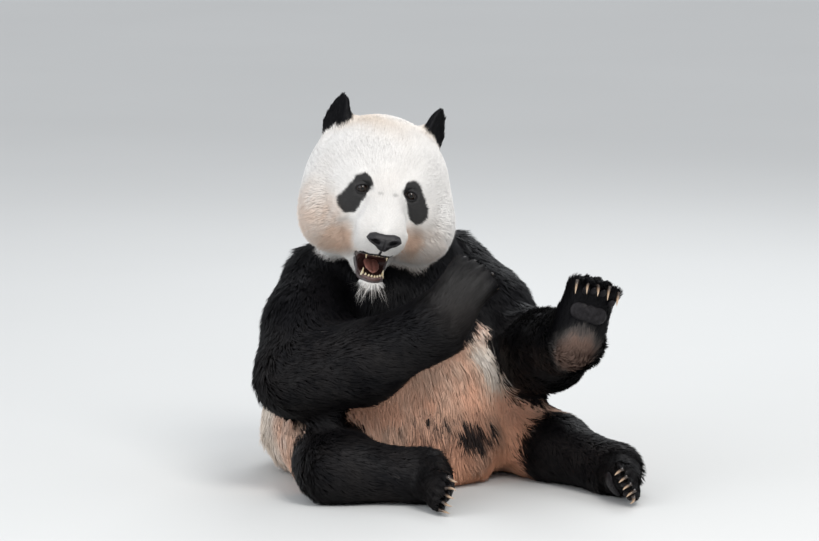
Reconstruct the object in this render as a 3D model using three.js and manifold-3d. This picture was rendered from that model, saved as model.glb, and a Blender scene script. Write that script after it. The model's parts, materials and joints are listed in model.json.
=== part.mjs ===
// A giant panda, life size, seated on the ground with its right leg folded in, its left leg out to the
// side, both forepaws raised before the muzzle and its mouth open. It is a still display model.
//
// Millimetres, +Z up. The animal's front is towards -Y: the face looks along -Y, a little to +X, and
// the trunk faces further round to +X. +X is the animal's left. Every local frame is laid out the same
// way: x to the animal's left, -y to the front or towards the digits, z up or towards the back of a paw.
import * as THREE from "three";
import { mergeVertices } from "three/addons/utils/BufferGeometryUtils.js";
import Module from "manifold-3d";

const wasm = await Module();
wasm.setup();

// ---- Driving dimensions, over the coat --------------------------------------------------------------
const HEAD_WIDTH = 306;
const TRUNK_TURN = 33; // degrees from straight ahead round to the animal's left
const HEAD_TURN = 9; // the same way, for the head
const HEAD_TILT = 10; // degrees that the head leans over to the animal's left
const SHOULDER_SPAN = 300; // between the two shoulder joints
const SHOULDER_HEIGHT = 395;
const HIP_SPAN = 300;
const HIP_HEIGHT = 102;
const UPPER_ARM = 256;
const FOREARM = 305;
const THIGH = 285;
const SHIN = { right: 183, left: 208 }; // the right one is seen bent further under the animal
const EYE_RADIUS = 12.5;
const GAP = 0.4; // clearance left between two pieces that touch
const FAR = 2400; // side of a cutting block, larger than the animal

// The way each limb points: degrees round from straight ahead, and degrees above the horizon.
const POSE = {
  right: {
    side: -1,
    upperArm: [-14, -40],
    forearm: [77, 21.5],
    forearmSag: 24,
    paw: [90, 55],
    pawBack: [-12, 10],
    thigh: [5, -7.5],
    shin: [84, -4],
    foot: [11, -4],
    footBack: [-74, 12],
  },
  left: {
    side: 1,
    upperArm: [48, -40],
    forearm: [17.5, 16],
    forearmSag: 4,
    paw: [60, 68],
    pawBack: [180, 20],
    thigh: [44, -8],
    shin: [36, -5],
    foot: [8, 1],
    footBack: [98, 28],
  },
};

const BLACK = 0x1c1a1b;
const CREAM = 0xe6ddd0;
const TAN = 0xb88d6c;
const LEATHER = 0x151314;
const HORN = 0xb9aa94;
const EYE = 0x1a100b;
const FLESH = 0xb3766c;

// ---- Points and frames -----------------------------------------------------------------------------
const UP = new THREE.Vector3(0, 0, 1);
const at = (x, y, z) => new THREE.Vector3(x, y, z);
const radians = THREE.MathUtils.degToRad;

/** The unit vector `turn` degrees round from straight ahead and `lift` degrees above the horizon. */
function heading([turn, lift]) {
  const flat = Math.cos(radians(lift));
  return at(Math.sin(radians(turn)) * flat, -Math.cos(radians(turn)) * flat, Math.sin(radians(lift)));
}

/** The point `length` from `from` along a heading. */
const reach = (from, way, length) => from.clone().addScaledVector(heading(way), length);

/** A frame at `origin` whose -y runs along `front` and whose z leans towards `back`. */
function frameAt(origin, front, back) {
  const y = front.clone().negate();
  const x = new THREE.Vector3().crossVectors(y, back).normalize();
  return new THREE.Matrix4().makeBasis(x, y, new THREE.Vector3().crossVectors(x, y)).setPosition(origin);
}

// ---- Soft forms: functions that are negative inside the body and grow outwards, in millimetres -------
/** An egg with its own three radii. */
function egg(centre, radii) {
  const q = new THREE.Vector3();
  return (p) => {
    const near = q.subVectors(p, centre).divide(radii).length();
    const slope = q.divide(radii).length();
    return slope > 0 ? (near * (near - 1)) / slope : -Math.min(radii.x, radii.y, radii.z);
  };
}

/** A bar with round ends that tapers from one radius to another. */
function bar(start, end, startRadius, endRadius) {
  const along = new THREE.Vector3().subVectors(end, start);
  const length2 = along.lengthSq();
  const q = new THREE.Vector3();
  return (p) => {
    const t = THREE.MathUtils.clamp(q.subVectors(p, start).dot(along) / length2, 0, 1);
    return q.addScaledVector(along, -t).length() - THREE.MathUtils.lerp(startRadius, endRadius, t);
  };
}

/** Two depths joined with a fillet. */
function fillet(a, b, softness) {
  const share = Math.max(softness - Math.abs(a - b), 0) / softness;
  return Math.min(a, b) - (share * share * softness) / 4;
}

/** Forms melted into one another over about `softness`. */
const melt = (softness, forms) => (p) => forms.map((f) => f(p)).reduce((a, b) => fillet(a, b, softness));

/** A form with others scooped out of it. */
const scoop = (softness, form, holes) => (p) =>
  holes.map((f) => f(p)).reduce((a, b) => -fillet(-a, b, softness), form(p));

/** A form given in a frame of its own, as one in the frame round it. */
function placed(frame, form) {
  const inward = frame.clone().invert();
  const q = new THREE.Vector3();
  return (p) => form(q.copy(p).applyMatrix4(inward));
}

/** The same form on the left and the right of a frame. */
const pair = (make) => [make(-1), make(1)];

// ---- Solids ----------------------------------------------------------------------------------------
/** A geometry with shared corners only, as a solid that can be cut and joined. */
function solidOf(geometry) {
  const bare = new THREE.BufferGeometry().setAttribute("position", geometry.attributes.position.clone());
  bare.setIndex(geometry.index);
  const merged = mergeVertices(bare, 1e-3);
  return new wasm.Manifold(
    new wasm.Mesh({
      numProp: 3,
      vertProperties: new Float32Array(merged.attributes.position.array),
      triVerts: new Uint32Array(merged.index.array),
    }),
  );
}

/** A solid as a three.js geometry again. */
function geometryOf(solid) {
  const { numVert, numProp, vertProperties, triVerts } = solid.getMesh();
  const places = new Float32Array(numVert * 3);
  for (let i = 0; i < numVert; i++) {
    places.set(vertProperties.subarray(i * numProp, i * numProp + 3), i * 3);
  }
  const geometry = new THREE.BufferGeometry().setAttribute("position", new THREE.BufferAttribute(places, 3));
  geometry.setIndex(new THREE.BufferAttribute(new Uint32Array(triVerts), 1));
  geometry.computeVertexNormals();
  return geometry;
}

/** How far from `centre` along `way` the form's surface lies, `swell` outside it. */
function depthOf(form, centre, way, swell) {
  const STEP = 6;
  const p = new THREE.Vector3();
  const outside = (t) => form(p.copy(centre).addScaledVector(way, t)) > swell;
  let far = STEP;
  while (!outside(far) && far < FAR) far += STEP;
  let near = far - STEP;
  for (let i = 0; i < 12; i++) {
    const middle = (near + far) / 2;
    if (outside(middle)) far = middle;
    else near = middle;
  }
  return near;
}

/** A ball blown up inside a form until it fills it. `axis` is the way the form is long, by `stretch`. */
function fill({ form, centre, detail, axis = UP, stretch = 1 }, swell) {
  const ball = new THREE.IcosahedronGeometry(1, detail);
  const places = ball.attributes.position;
  const turn = new THREE.Quaternion().setFromUnitVectors(UP, axis.clone().normalize());
  const way = new THREE.Vector3();
  const found = new Map();
  for (let i = 0; i < places.count; i++) {
    way.fromBufferAttribute(places, i);
    const key = way.toArray().map((v) => v.toFixed(4)).join();
    if (!found.has(key)) {
      way.z *= stretch;
      way.normalize().applyQuaternion(turn);
      found.set(key, way.clone().multiplyScalar(depthOf(form, centre, way, swell)).add(centre));
    }
    places.setXYZ(i, ...found.get(key).toArray());
  }
  return solidOf(ball);
}

/** A solid without what lies beyond a plane, or beyond `back` short of it. */
function trim(solid, { point, normal }, back = GAP / 2) {
  const block = new THREE.BoxGeometry(FAR, FAR, FAR);
  block.applyQuaternion(new THREE.Quaternion().setFromUnitVectors(UP, normal.clone().normalize()));
  const middle = point.clone().addScaledVector(normal.clone().normalize(), FAR / 2 - back);
  block.translate(...middle.toArray());
  return solid.subtract(solidOf(block));
}

/** A soft part: its form filled and trimmed at its joints, or the same `swell` larger all round. */
function body(part, swell) {
  const whole = fill(part, swell);
  return (part.joints ?? []).reduce((s, joint) => trim(s, joint, GAP / 2 - swell), whole);
}

/** The largest piece of a solid, without the slivers that a cut leaves. */
function mainPiece(solid) {
  const pieces = solid.decompose();
  return pieces.reduce((a, b) => (b.volume() > a.volume() ? b : a));
}

// ---- Skeleton: where the joints are ------------------------------------------------------------------
const trunkFrame = new THREE.Matrix4().makeRotationZ(radians(TRUNK_TURN));
const inTrunk = (x, y, z) => at(x, y, z).applyMatrix4(trunkFrame);
const chestShift = at(-2, -13, 0); // the chest leans a little ahead of the pelvis

const headFrame = new THREE.Matrix4()
  .makeRotationFromEuler(new THREE.Euler(0, radians(HEAD_TILT), radians(HEAD_TURN), "ZYX"))
  .setPosition(-22, -150, 569);
const inHead = (x, y, z) => at(x, y, z).applyMatrix4(headFrame);

function limbJoints(word) {
  const pose = POSE[word];
  const shoulder = inTrunk((pose.side * SHOULDER_SPAN) / 2, 0, SHOULDER_HEIGHT).add(chestShift);
  const elbow = reach(shoulder, pose.upperArm, UPPER_ARM);
  const wrist = reach(elbow, pose.forearm, FOREARM);
  const hip = inTrunk((pose.side * HIP_SPAN) / 2, 0, HIP_HEIGHT);
  const knee = reach(hip, pose.thigh, THIGH);
  const ankle = reach(knee, pose.shin, SHIN[word]);
  return { shoulder, elbow, wrist, hip, knee, ankle };
}

// ---- Trunk and neck ----------------------------------------------------------------------------------
const neckBase = at(2, -15, 425);
const neckTop = inHead(4, 30, -20);

const trunkForm = melt(60, [
  placed(trunkFrame, egg(at(0, 5, 84), at(260, 242, 142))), // rump
  placed(trunkFrame, egg(at(0, -45, 190), at(238, 222, 180))), // belly
  placed(trunkFrame, egg(at(0, 46, 205), at(205, 186, 150))), // loins
  placed(trunkFrame, egg(at(0, -190, 62), at(135, 105, 84))), // groin, sunk to the ground
  placed(trunkFrame, egg(at(-4, 0, 330), at(188, 178, 152))), // chest
  placed(trunkFrame, egg(at(-4, 35, 400), at(138, 112, 84))), // withers
  bar(neckBase, neckTop, 128, 118),
]);

const waist = { point: at(0, 0, 303), normal: at(0.12, -0.2, 1) };
const collar = { point: neckBase.clone().lerp(neckTop, 0.42), normal: neckTop.clone().sub(neckBase) };
const nape = { point: neckBase.clone().lerp(neckTop, 0.8), normal: collar.normal };
const turned = ({ point, normal }) => ({ point, normal: normal.clone().negate() });

// ---- Head ---------------------------------------------------------------------------------------------
const HALF_HEAD = HEAD_WIDTH / 2;
const earCentre = (side) => at(side * 99, 6, 131);
const eyeCentre = (side) => at(side * 47.5, -124, 15);

const CHEEK_LEAN = 9; // the left cheek is the fuller one
const headMass = melt(30, [
  egg(at(0, -5, 10), at(HALF_HEAD - 10, 140, 142)), // brain case and brow
  ...pair((s) => egg(at(s * 76 + CHEEK_LEAN, -20, -49), at(HALF_HEAD - 73, 92, 82))), // cheeks
  egg(at(0, -106, -24), at(47, 62, 50)), // bridge of the nose
  egg(at(0, -142, -64), at(52, 62, 44)), // muzzle
  egg(at(0, -92, -60), at(72, 76, 54)), // root of the muzzle
]);

// The muzzle is set off from the cheeks by a furrow on either side.
const skullForm = scoop(
  14,
  headMass,
  pair((s) => bar(at(s * 44, -146, -6), at(s * 65, -129, -78), 10, 15)),
);

/** The hollow that an eye looks out of. */
function socketSolid(side) {
  const socket = new THREE.SphereGeometry(1, 8, 6);
  socket.scale(17, 14, 14);
  socket.translate(...eyeCentre(side).add(at(side * 2, -18, 0)).toArray());
  return solidOf(socket.applyMatrix4(headFrame));
}

const MOUTH_OPEN = 17; // degrees that the jaw has dropped
const jawFrame = new THREE.Matrix4()
  .makeRotationX(radians(MOUTH_OPEN))
  .setPosition(0, -10, -70)
  .premultiply(headFrame);
const jawForm = scoop(
  6,
  melt(20, [
    egg(at(0, -130, -53), at(31, 37, 17)), // chin
    egg(at(0, -64, -36), at(40, 60, 40)), // corners of the mouth
  ]),
  [egg(at(0, -112, -22), at(24, 52, 20))],
);

/** A row of small pointed teeth round the front of a mouth, with a larger canine at each end. */
function teeth(frame, middle, width, way, swell) {
  const CANINE = [6, 22];
  const INCISOR = [4.2, 10];
  return [-3.5, -2.5, -1.5, -0.5, 0.5, 1.5, 2.5, 3.5].map((i) => {
    const [radius, length] = Math.abs(i) > 3 ? CANINE : INCISOR;
    const cone = new THREE.ConeGeometry(radius + swell, length + 2 * swell, 4, 1);
    cone.rotateX(way > 0 ? Math.PI / 2 : -Math.PI / 2);
    const along = i / 3.5;
    cone.translate(middle.x + along * width, middle.y + along * along * 14, middle.z + (way * length) / 3);
    return solidOf(cone.applyMatrix4(frame));
  });
}

/** A solid joined to its teeth. */
const withTeeth = (solid, row) => row.reduce((a, b) => a.add(b), solid);

const EAR_TURN = { right: 66, left: 54 }; // degrees that the hollow of each ear is turned outwards
const EAR_LEAN = { right: 14, left: -1 }; // degrees that each ear leans in over the head

/** A cupped round ear. */
function earSolid(side, word, swell) {
  const ear = new THREE.SphereGeometry(1, 10, 7);
  const places = ear.attributes.position;
  for (let i = 0; i < places.count; i++) {
    const [x, y, z] = [places.getX(i), places.getY(i), places.getZ(i)];
    const cup = 16 * (x * x + z * z);
    const narrowed = x * (1 - 0.18 * z); // towards the tip
    places.setXYZ(i, narrowed * (39 + swell), y * (13 + swell) - cup + 12, z * (53 + swell));
  }
  ear.rotateZ(radians(side * EAR_TURN[word]));
  ear.rotateY(radians(-side * EAR_LEAN[word]));
  ear.translate(...earCentre(side).toArray());
  return solidOf(ear.applyMatrix4(headFrame));
}

function eyeSolid(side, swell) {
  const eye = new THREE.IcosahedronGeometry(EYE_RADIUS + swell, 1);
  eye.translate(...eyeCentre(side).toArray());
  return solidOf(eye.applyMatrix4(headFrame));
}

/** The nose pad: broad above, narrowing to the lip. */
const noseForm = melt(8, [
  ...pair((s) => egg(at(s * 15, -196, -68), at(19, 14, 12))),
  egg(at(0, -198, -77), at(14, 13, 16)),
]);
const nose = { form: placed(headFrame, noseForm), centre: inHead(0, -196, -70), detail: 2 };

function tongueSolid(swell) {
  const tongue = new THREE.SphereGeometry(1, 8, 6);
  tongue.scale(16 + swell, 42 + swell, 5 + swell);
  tongue.translate(0, -100, -31);
  return solidOf(tongue.applyMatrix4(jawFrame));
}

// ---- Paws ----------------------------------------------------------------------------------------------
const DIGITS = [-2, -1, 0, 1, 2];

/** Where one digit starts, bends and ends, in the paw's frame. `curl` is how far it is closed, 0 to 1. */
function digitPoints(spec, i) {
  const across = (i * spec.width) / 5.4;
  const start = at(across * 0.9, -0.62 * spec.length - spec.arc * (1 - (i * i) / 4), 3);
  const bend = start.clone().add(at(across * 0.08, -24 + 5 * spec.curl, -2 - 18 * spec.curl));
  const tip = bend.clone().add(at(across * 0.02, -19 + 17 * spec.curl, -4 - 16 * spec.curl));
  return { start, bend, tip };
}

function pawForm(spec) {
  const radius = spec.width * 0.13;
  const digits = DIGITS.map((i) => {
    const { start, bend, tip } = digitPoints(spec, i);
    return melt(8, [bar(start, bend, radius * 1.15, radius * 1.1), bar(bend, tip, radius * 1.1, radius)]);
  });
  const palm = egg(at(0, -spec.length * 0.42, -2), at(spec.width * 0.47, spec.length * 0.42, spec.depth));
  return melt(9, [melt(30, [palm, heelForm(spec)]), ...digits]);
}

/** The root of a paw, which it shares with the limb. */
const heelForm = (spec) => egg(at(0, 6, 0), at(spec.root, spec.root * 1.15, spec.root));

/** A claw: a cone curved along a circle, from the end of a digit. */
function clawSolid(frame, spec, i, swell) {
  const SIDES = 4;
  const STEPS = 2;
  const { bend, tip } = digitPoints(spec, i);
  const ahead = new THREE.Vector3().subVectors(tip, bend).setX(0).normalize();
  const inward = at(0, -ahead.z, ahead.y); // the way that the digit goes on curling
  const across = at(1, 0, 0);
  const circle = (spec.claw + swell) / spec.hook;
  const claw = new THREE.ConeGeometry(5.2 + swell, 1, SIDES, STEPS);
  const places = claw.attributes.position;
  for (let k = 0; k < places.count; k++) {
    const angle = (places.getY(k) + 0.5) * spec.hook;
    const out = circle - places.getZ(k);
    const p = tip.clone().addScaledVector(ahead, spec.width * 0.09 - swell);
    p.addScaledVector(inward, circle - out * Math.cos(angle)).addScaledVector(ahead, out * Math.sin(angle));
    p.addScaledVector(across, places.getX(k));
    places.setXYZ(k, p.x, p.y, p.z);
  }
  return solidOf(claw.applyMatrix4(frame));
}

const FOREPAW = { width: 112, length: 150, depth: 40, arc: 8, root: 60, curl: 1, claw: 24, hook: 1.1 };
const HINDPAW = { width: 84, length: 138, depth: 34, arc: 6, root: 49, curl: 0.1, claw: 17, hook: 0.9 };

// ---- Assembly ------------------------------------------------------------------------------------------
const panda = new THREE.Group();
const placedSolids = []; // what later pieces are cut clear of, slightly swollen

/**
 * Adds a named mesh, cut clear of the floor and of all that was added before it. `make(swell)` gives its
 * solid, and the same solid `swell` larger all round, which is what later pieces are cut clear of.
 */
function add(name, colour, make, finish = { roughness: 0.85, metalness: 0 }) {
  let cut = trim(make(0), { point: at(0, 0, 0), normal: at(0, 0, -1) }, 0);
  const box = cut.boundingBox();
  const apart = (b) => [0, 1, 2].some((k) => b.min[k] > box.max[k] || b.max[k] < box.min[k]);
  for (const other of placedSolids) {
    if (!apart(other.boundingBox())) cut = cut.subtract(other);
  }
  const mesh = new THREE.Mesh(
    geometryOf(mainPiece(cut)),
    new THREE.MeshStandardMaterial({ color: colour, ...finish }),
  );
  mesh.name = name;
  panda.add(mesh);
  placedSolids.push(make(GAP));
}

const GLOSSY = { roughness: 0.1, metalness: 0 };
const SATIN = { roughness: 0.4, metalness: 0 };

function addTrunk() {
  const abdomen = { form: trunkForm, centre: inTrunk(0, -10, 150), detail: 4, joints: [waist] };
  add("abdomen", TAN, (swell) => body(abdomen, swell));
  const chest = { form: trunkForm, centre: inTrunk(0, 5, 370), detail: 4, joints: [collar, turned(waist)] };
  add("chest", BLACK, (swell) => body(chest, swell));
  const neckMiddle = neckBase.clone().lerp(neckTop, 0.6);
  const neck = { form: trunkForm, centre: neckMiddle, detail: 2, joints: [turned(collar), nape] };
  add("neck", BLACK, (swell) => body(neck, swell));
  const tailForm = placed(trunkFrame, egg(at(0, 244, 50), at(36, 42, 60)));
  const tail = { form: tailForm, centre: inTrunk(0, 246, 50), detail: 2 };
  add("tail", CREAM, (swell) => body(tail, swell));
}

function addHead() {
  const sides = [[-1, "right"], [1, "left"]];
  for (const [side, word] of sides) add(`eye_${word}`, EYE, (swell) => eyeSolid(side, swell), GLOSSY);

  const skull = { form: placed(headFrame, skullForm), centre: inHead(0, -60, -25), detail: 6 };
  const upperTeeth = (swell) => teeth(headFrame, at(0, -170, -97), 22, -1, swell);
  const face = (swell) => pair(socketSolid).reduce((a, b) => a.subtract(b), body(skull, swell));
  add("head", CREAM, (swell) => withTeeth(face(swell), upperTeeth(swell)));

  const mandible = {
    form: placed(jawFrame, jawForm),
    centre: at(0, -95, -52).applyMatrix4(jawFrame),
    detail: 3,
    axis: heading([9, -10]),
    stretch: 1.4,
  };
  const lowerTeeth = (swell) => teeth(jawFrame, at(0, -151, -37), 19, 1, swell);
  add("jaw", CREAM, (swell) => withTeeth(body(mandible, swell), lowerTeeth(swell)));
  add("tongue", FLESH, tongueSolid, SATIN);
  add("nose", LEATHER, (swell) => body(nose, swell), SATIN);
  for (const [side, word] of sides) add(`ear_${word}`, BLACK, (swell) => earSolid(side, word, swell));
}

function addPaw(word, name, frame, spec, wrist) {
  const paw = {
    form: placed(frame, pawForm(spec)),
    centre: at(0, -spec.length * 0.45, -2).applyMatrix4(frame),
    detail: 4,
    joints: [wrist],
  };
  add(`${name}_${word}`, BLACK, (swell) => body(paw, swell));
  for (const i of DIGITS) {
    add(`claw_${name}_${word}_${i + 3}`, HORN, (swell) => clawSolid(frame, spec, i, swell), SATIN);
  }
}

/** The plane across a bent joint, facing the far segment. */
function jointPlane(start, joint, end) {
  const inward = new THREE.Vector3().subVectors(joint, start).normalize();
  const outward = new THREE.Vector3().subVectors(end, joint).normalize();
  return { point: joint, normal: inward.add(outward) };
}

/** Adds one length of a limb, between two joints. */
function addSegment(name, colour, form, start, end, joints) {
  const axis = end.clone().sub(start);
  const part = { form, centre: start.clone().lerp(end, 0.5), detail: 3, axis, stretch: 1.5, joints };
  add(name, colour, (swell) => body(part, swell));
}

function addLeg(word) {
  const pose = POSE[word];
  const { hip, knee, ankle } = limbJoints(word);
  const footFrame = frameAt(ankle, heading(pose.foot), heading(pose.footBack));
  const form = melt(40, [
    bar(hip, knee, 112, 70),
    bar(knee, ankle, 68, 50),
    placed(footFrame, heelForm(HINDPAW)),
  ]);
  const kneePlane = jointPlane(hip, knee, ankle);
  const anklePlane = jointPlane(knee, ankle, reach(ankle, pose.foot, 100));
  addSegment(`thigh_${word}`, CREAM, form, hip, knee, [kneePlane]);
  addSegment(`shin_${word}`, BLACK, form, knee, ankle, [turned(kneePlane), anklePlane]);
  addPaw(word, "hindpaw", footFrame, HINDPAW, turned(anklePlane));
}

function addArm(word) {
  const pose = POSE[word];
  const { shoulder, elbow, wrist } = limbJoints(word);
  const handFrame = frameAt(wrist, heading(pose.paw), heading(pose.pawBack));
  const biceps = shoulder.clone().lerp(elbow, 0.5);
  const sag = elbow.clone().lerp(wrist, 0.45).add(at(0, 0, -pose.forearmSag));
  const form = melt(40, [
    bar(shoulder, biceps, 79, 86),
    bar(biceps, elbow, 86, 78),
    bar(elbow, sag, 78, 78),
    bar(sag, wrist, 78, 60),
    placed(handFrame, heelForm(FOREPAW)),
  ]);
  const elbowPlane = jointPlane(shoulder, elbow, wrist);
  const wristPlane = jointPlane(elbow, wrist, reach(wrist, pose.paw, 100));
  addSegment(`upper_arm_${word}`, BLACK, form, shoulder, elbow, [elbowPlane]);
  addSegment(`forearm_${word}`, BLACK, form, elbow, wrist, [turned(elbowPlane), wristPlane]);
  addPaw(word, "forepaw", handFrame, FOREPAW, turned(wristPlane));
}

addTrunk();
addHead();
addLeg("right");
addLeg("left");
addArm("right");
addArm("left");

// The origin is the middle of the animal's extent on the floor.
const extent = new THREE.Box3().setFromObject(panda);
const middle = extent.getCenter(new THREE.Vector3());
panda.position.set(-middle.x, -middle.y, -extent.min.z);

export default panda;
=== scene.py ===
"""A giant panda, life size, seated on the floor: skin, coat, eyes, nose, mouth, claws and pads.

The solids of the part give every place and size. One skin stands for all its nodes of flesh and lies
inside them by the depth of the coat. The coat grows from the skin in small closed tufts that follow the
lie of the hair. Metres, +Z up, the animal's front towards -Y and its left towards +X.
"""
import json
import math

import bpy
import numpy as np
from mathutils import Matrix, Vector
from mathutils.bvhtree import BVHTree
from mathutils.kdtree import KDTree

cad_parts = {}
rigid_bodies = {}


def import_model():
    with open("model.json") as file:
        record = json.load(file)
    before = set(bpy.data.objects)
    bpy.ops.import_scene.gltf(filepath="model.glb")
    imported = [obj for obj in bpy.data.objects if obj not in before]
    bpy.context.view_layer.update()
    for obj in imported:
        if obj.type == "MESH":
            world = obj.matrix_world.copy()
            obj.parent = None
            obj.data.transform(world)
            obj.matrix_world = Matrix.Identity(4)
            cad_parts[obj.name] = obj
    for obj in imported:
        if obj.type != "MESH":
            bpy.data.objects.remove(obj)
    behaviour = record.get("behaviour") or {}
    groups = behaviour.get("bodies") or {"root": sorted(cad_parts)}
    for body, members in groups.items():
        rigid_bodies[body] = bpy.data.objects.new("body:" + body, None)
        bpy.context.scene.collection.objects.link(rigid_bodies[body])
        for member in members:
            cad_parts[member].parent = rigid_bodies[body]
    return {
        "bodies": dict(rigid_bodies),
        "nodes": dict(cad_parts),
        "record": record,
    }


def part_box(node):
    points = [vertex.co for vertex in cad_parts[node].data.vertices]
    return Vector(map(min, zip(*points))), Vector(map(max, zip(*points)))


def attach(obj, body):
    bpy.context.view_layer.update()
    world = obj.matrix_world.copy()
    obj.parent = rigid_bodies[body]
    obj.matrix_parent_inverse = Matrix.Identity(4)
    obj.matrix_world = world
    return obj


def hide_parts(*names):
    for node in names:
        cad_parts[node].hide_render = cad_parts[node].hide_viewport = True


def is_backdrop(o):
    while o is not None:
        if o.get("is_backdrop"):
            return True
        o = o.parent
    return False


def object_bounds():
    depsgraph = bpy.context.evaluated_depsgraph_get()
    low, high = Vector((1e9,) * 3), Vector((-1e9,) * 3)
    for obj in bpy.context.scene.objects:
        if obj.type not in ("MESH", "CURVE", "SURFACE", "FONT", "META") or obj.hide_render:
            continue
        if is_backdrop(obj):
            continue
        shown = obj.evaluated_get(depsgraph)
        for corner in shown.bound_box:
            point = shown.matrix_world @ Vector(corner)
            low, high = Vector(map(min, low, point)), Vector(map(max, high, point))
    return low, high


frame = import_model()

bl_info = {
    "name": "Giant panda figure",
    "version": (1, 0, 0),
    "blender": (4, 5, 0),
    "location": "3D Viewport > Sidebar > Panda",
    "description": "Dresses the panda's solids with skin, coat, eyes, nose, mouth, claws and a studio",
    "category": "Add Mesh",
}

SIDES = ("right", "left")
LIMBS = ("upper_arm", "forearm", "forepaw", "thigh", "shin", "hindpaw")
FLESH = ["abdomen", "chest", "neck", "tail", "head", "jaw", "ear_right", "ear_left"]
FLESH += [f"{limb}_{side}" for side in SIDES for limb in LIMBS]
DIGITS = range(1, 6)


# ---- Numbers and fields ----------------------------------------------------------------------
def unit(vectors):
    """Vectors brought to length 1."""
    return vectors / np.maximum(np.linalg.norm(vectors, axis=-1, keepdims=True), 1e-12)


def ease(low, high, values):
    """0 below low, 1 above high, and smooth between. low may be the larger."""
    t = np.clip((values - low) / (high - low), 0, 1)
    return t * t * (3 - 2 * t)


def mix(a, b, share):
    """a where share is 0, and b where it is 1."""
    return a + (b - a) * share


def drift(points, size, seed, waves=16):
    """A smooth random field, about -1 to 1, whose lumps are about `size` across."""
    rng = np.random.default_rng(seed)
    ways = unit(rng.normal(size=(waves, 3))) * rng.uniform(0.6, 1.5, (waves, 1)) * math.pi / size
    return np.sin(points @ ways.T + rng.uniform(0, math.tau, waves)).sum(1) / 5


class Local:
    """A frame of its own for a part of the body: x to the animal's left, -y ahead, z up."""

    def __init__(self, origin, x, y):
        self.origin = np.array(origin, float)
        x = unit(np.array(x, float))
        y = unit(np.array(y, float) - x * np.dot(x, y))
        self.axes = np.stack([x, y, np.cross(x, y)], 1)

    def inward(self, points):
        """Points of the scene in this frame."""
        return (points - self.origin) @ self.axes

    def outward(self, points):
        """Points of this frame in the scene."""
        return self.origin + np.asarray(points, float) @ self.axes.T

    def way(self, vectors):
        """Directions of this frame in the scene."""
        return np.asarray(vectors, float) @ self.axes.T


class Egg:
    """An egg-shaped region, in the frame of some part of the body."""

    def __init__(self, centre, radii):
        self.centre = np.array(centre)
        self.radii = np.array(radii)

    def reach(self, points):
        """How far points lie from its centre, in its radii: below 1 inside."""
        return np.linalg.norm((points - self.centre) / self.radii, axis=1)


def capsule(points, start, end, start_radius, end_radius):
    """How far points lie from a bar with round ends, in its radii's units: negative inside."""
    start, end = np.array(start, float), np.array(end, float)
    along = end - start
    t = np.clip((points - start) @ along / (along @ along), 0, 1)
    return np.linalg.norm(points - start - t[:, None] * along, axis=1) - mix(start_radius, end_radius, t)


# ---- Reading and making meshes ---------------------------------------------------------------
def numbers(items, field, width=3, kind=np.float32):
    """One field of all of a mesh's items, a row for each."""
    values = np.empty(len(items) * width, kind)
    items.foreach_get(field, values)
    return values.reshape(-1, width)


def places_of(mesh):
    """A mesh's corners."""
    return numbers(mesh.vertices, "co").astype(float)


def normals_of(mesh):
    """A mesh's smooth normals at its corners."""
    return numbers(mesh.vertex_normals, "vector").astype(float)


def edges_of(mesh):
    """The two corners of each of a mesh's edges."""
    return numbers(mesh.edges, "vertices", 2, np.int32)


def centres_of(mesh):
    """The middles of a mesh's faces."""
    return numbers(mesh.polygons, "center").astype(float)


def set_places(mesh, places):
    """Moves a mesh's corners."""
    mesh.vertices.foreach_set("co", places.astype(np.float32).ravel())
    mesh.update()


def mark(mesh, name, values):
    """Stores one number for each corner."""
    attribute = mesh.attributes.new(name, "FLOAT", "POINT")
    attribute.data.foreach_set("value", np.asarray(values, np.float32))


def select_only(*objects):
    """Selects these objects alone, the first of them active."""
    bpy.ops.object.select_all(action="DESELECT")
    for o in objects:
        o.select_set(True)
    bpy.context.view_layer.objects.active = objects[0]


def new_object(name, mesh):
    """A new object in the scene."""
    o = bpy.data.objects.new(name, mesh)
    bpy.context.scene.collection.objects.link(o)
    return o


def primitive(add, **values):
    """A new primitive at the origin."""
    bpy.ops.object.select_all(action="DESELECT")
    add(location=(0, 0, 0), **values)
    return bpy.context.active_object


def join(name, pieces):
    """One object made of several, under a new name."""
    select_only(*pieces)
    if len(pieces) > 1:
        bpy.ops.object.join()
    o = bpy.context.active_object
    o.name = name
    return o


def edit(o, operator, **values):
    """Runs an operator of edit mode on the whole of a piece."""
    select_only(o)
    bpy.ops.object.mode_set(mode="EDIT")
    bpy.ops.mesh.select_all(action="SELECT")
    operator(**values)
    bpy.ops.object.mode_set(mode="OBJECT")


def apply(o, kind, **values):
    """Adds a modifier with these values and applies it."""
    select_only(o)
    modifier = o.modifiers.new(kind.title(), kind)
    for key, value in values.items():
        setattr(modifier, key, value)
    bpy.ops.object.modifier_apply(modifier=modifier.name)


def remesh(o, cell, rounds):
    """Makes a piece anew in even cells, and smooths it."""
    apply(o, "REMESH", mode="VOXEL", voxel_size=cell)
    apply(o, "SMOOTH", factor=0.5, iterations=rounds)


def merged_copy(name, nodes):
    """One new object from copies of CAD nodes, with their corners merged."""
    copies = [new_object(f"{name}_{node}", frame["nodes"][node].data.copy()) for node in nodes]
    o = join(name, copies)
    o.data.name = name
    o.data.materials.clear()
    edit(o, bpy.ops.mesh.remove_doubles, threshold=1e-5)
    return o


def finish(o, *nodes, material, slot):
    """Smooths a piece, gives it its material, hides the nodes it stands for, and hangs it on the root body.
    """
    o.data.shade_smooth()
    o.data.materials.clear()
    o.data.materials.append(material)
    if nodes:
        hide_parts(*nodes)
    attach(o, "root")
    return o


# ---- What the solids say about the body ------------------------------------------------------
def corners_of(node):
    """A CAD node's corners."""
    return places_of(frame["nodes"][node].data)


def middle(node):
    """The middle of a CAD node's box."""
    low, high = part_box(node)
    return np.array((low + high) / 2)


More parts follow.
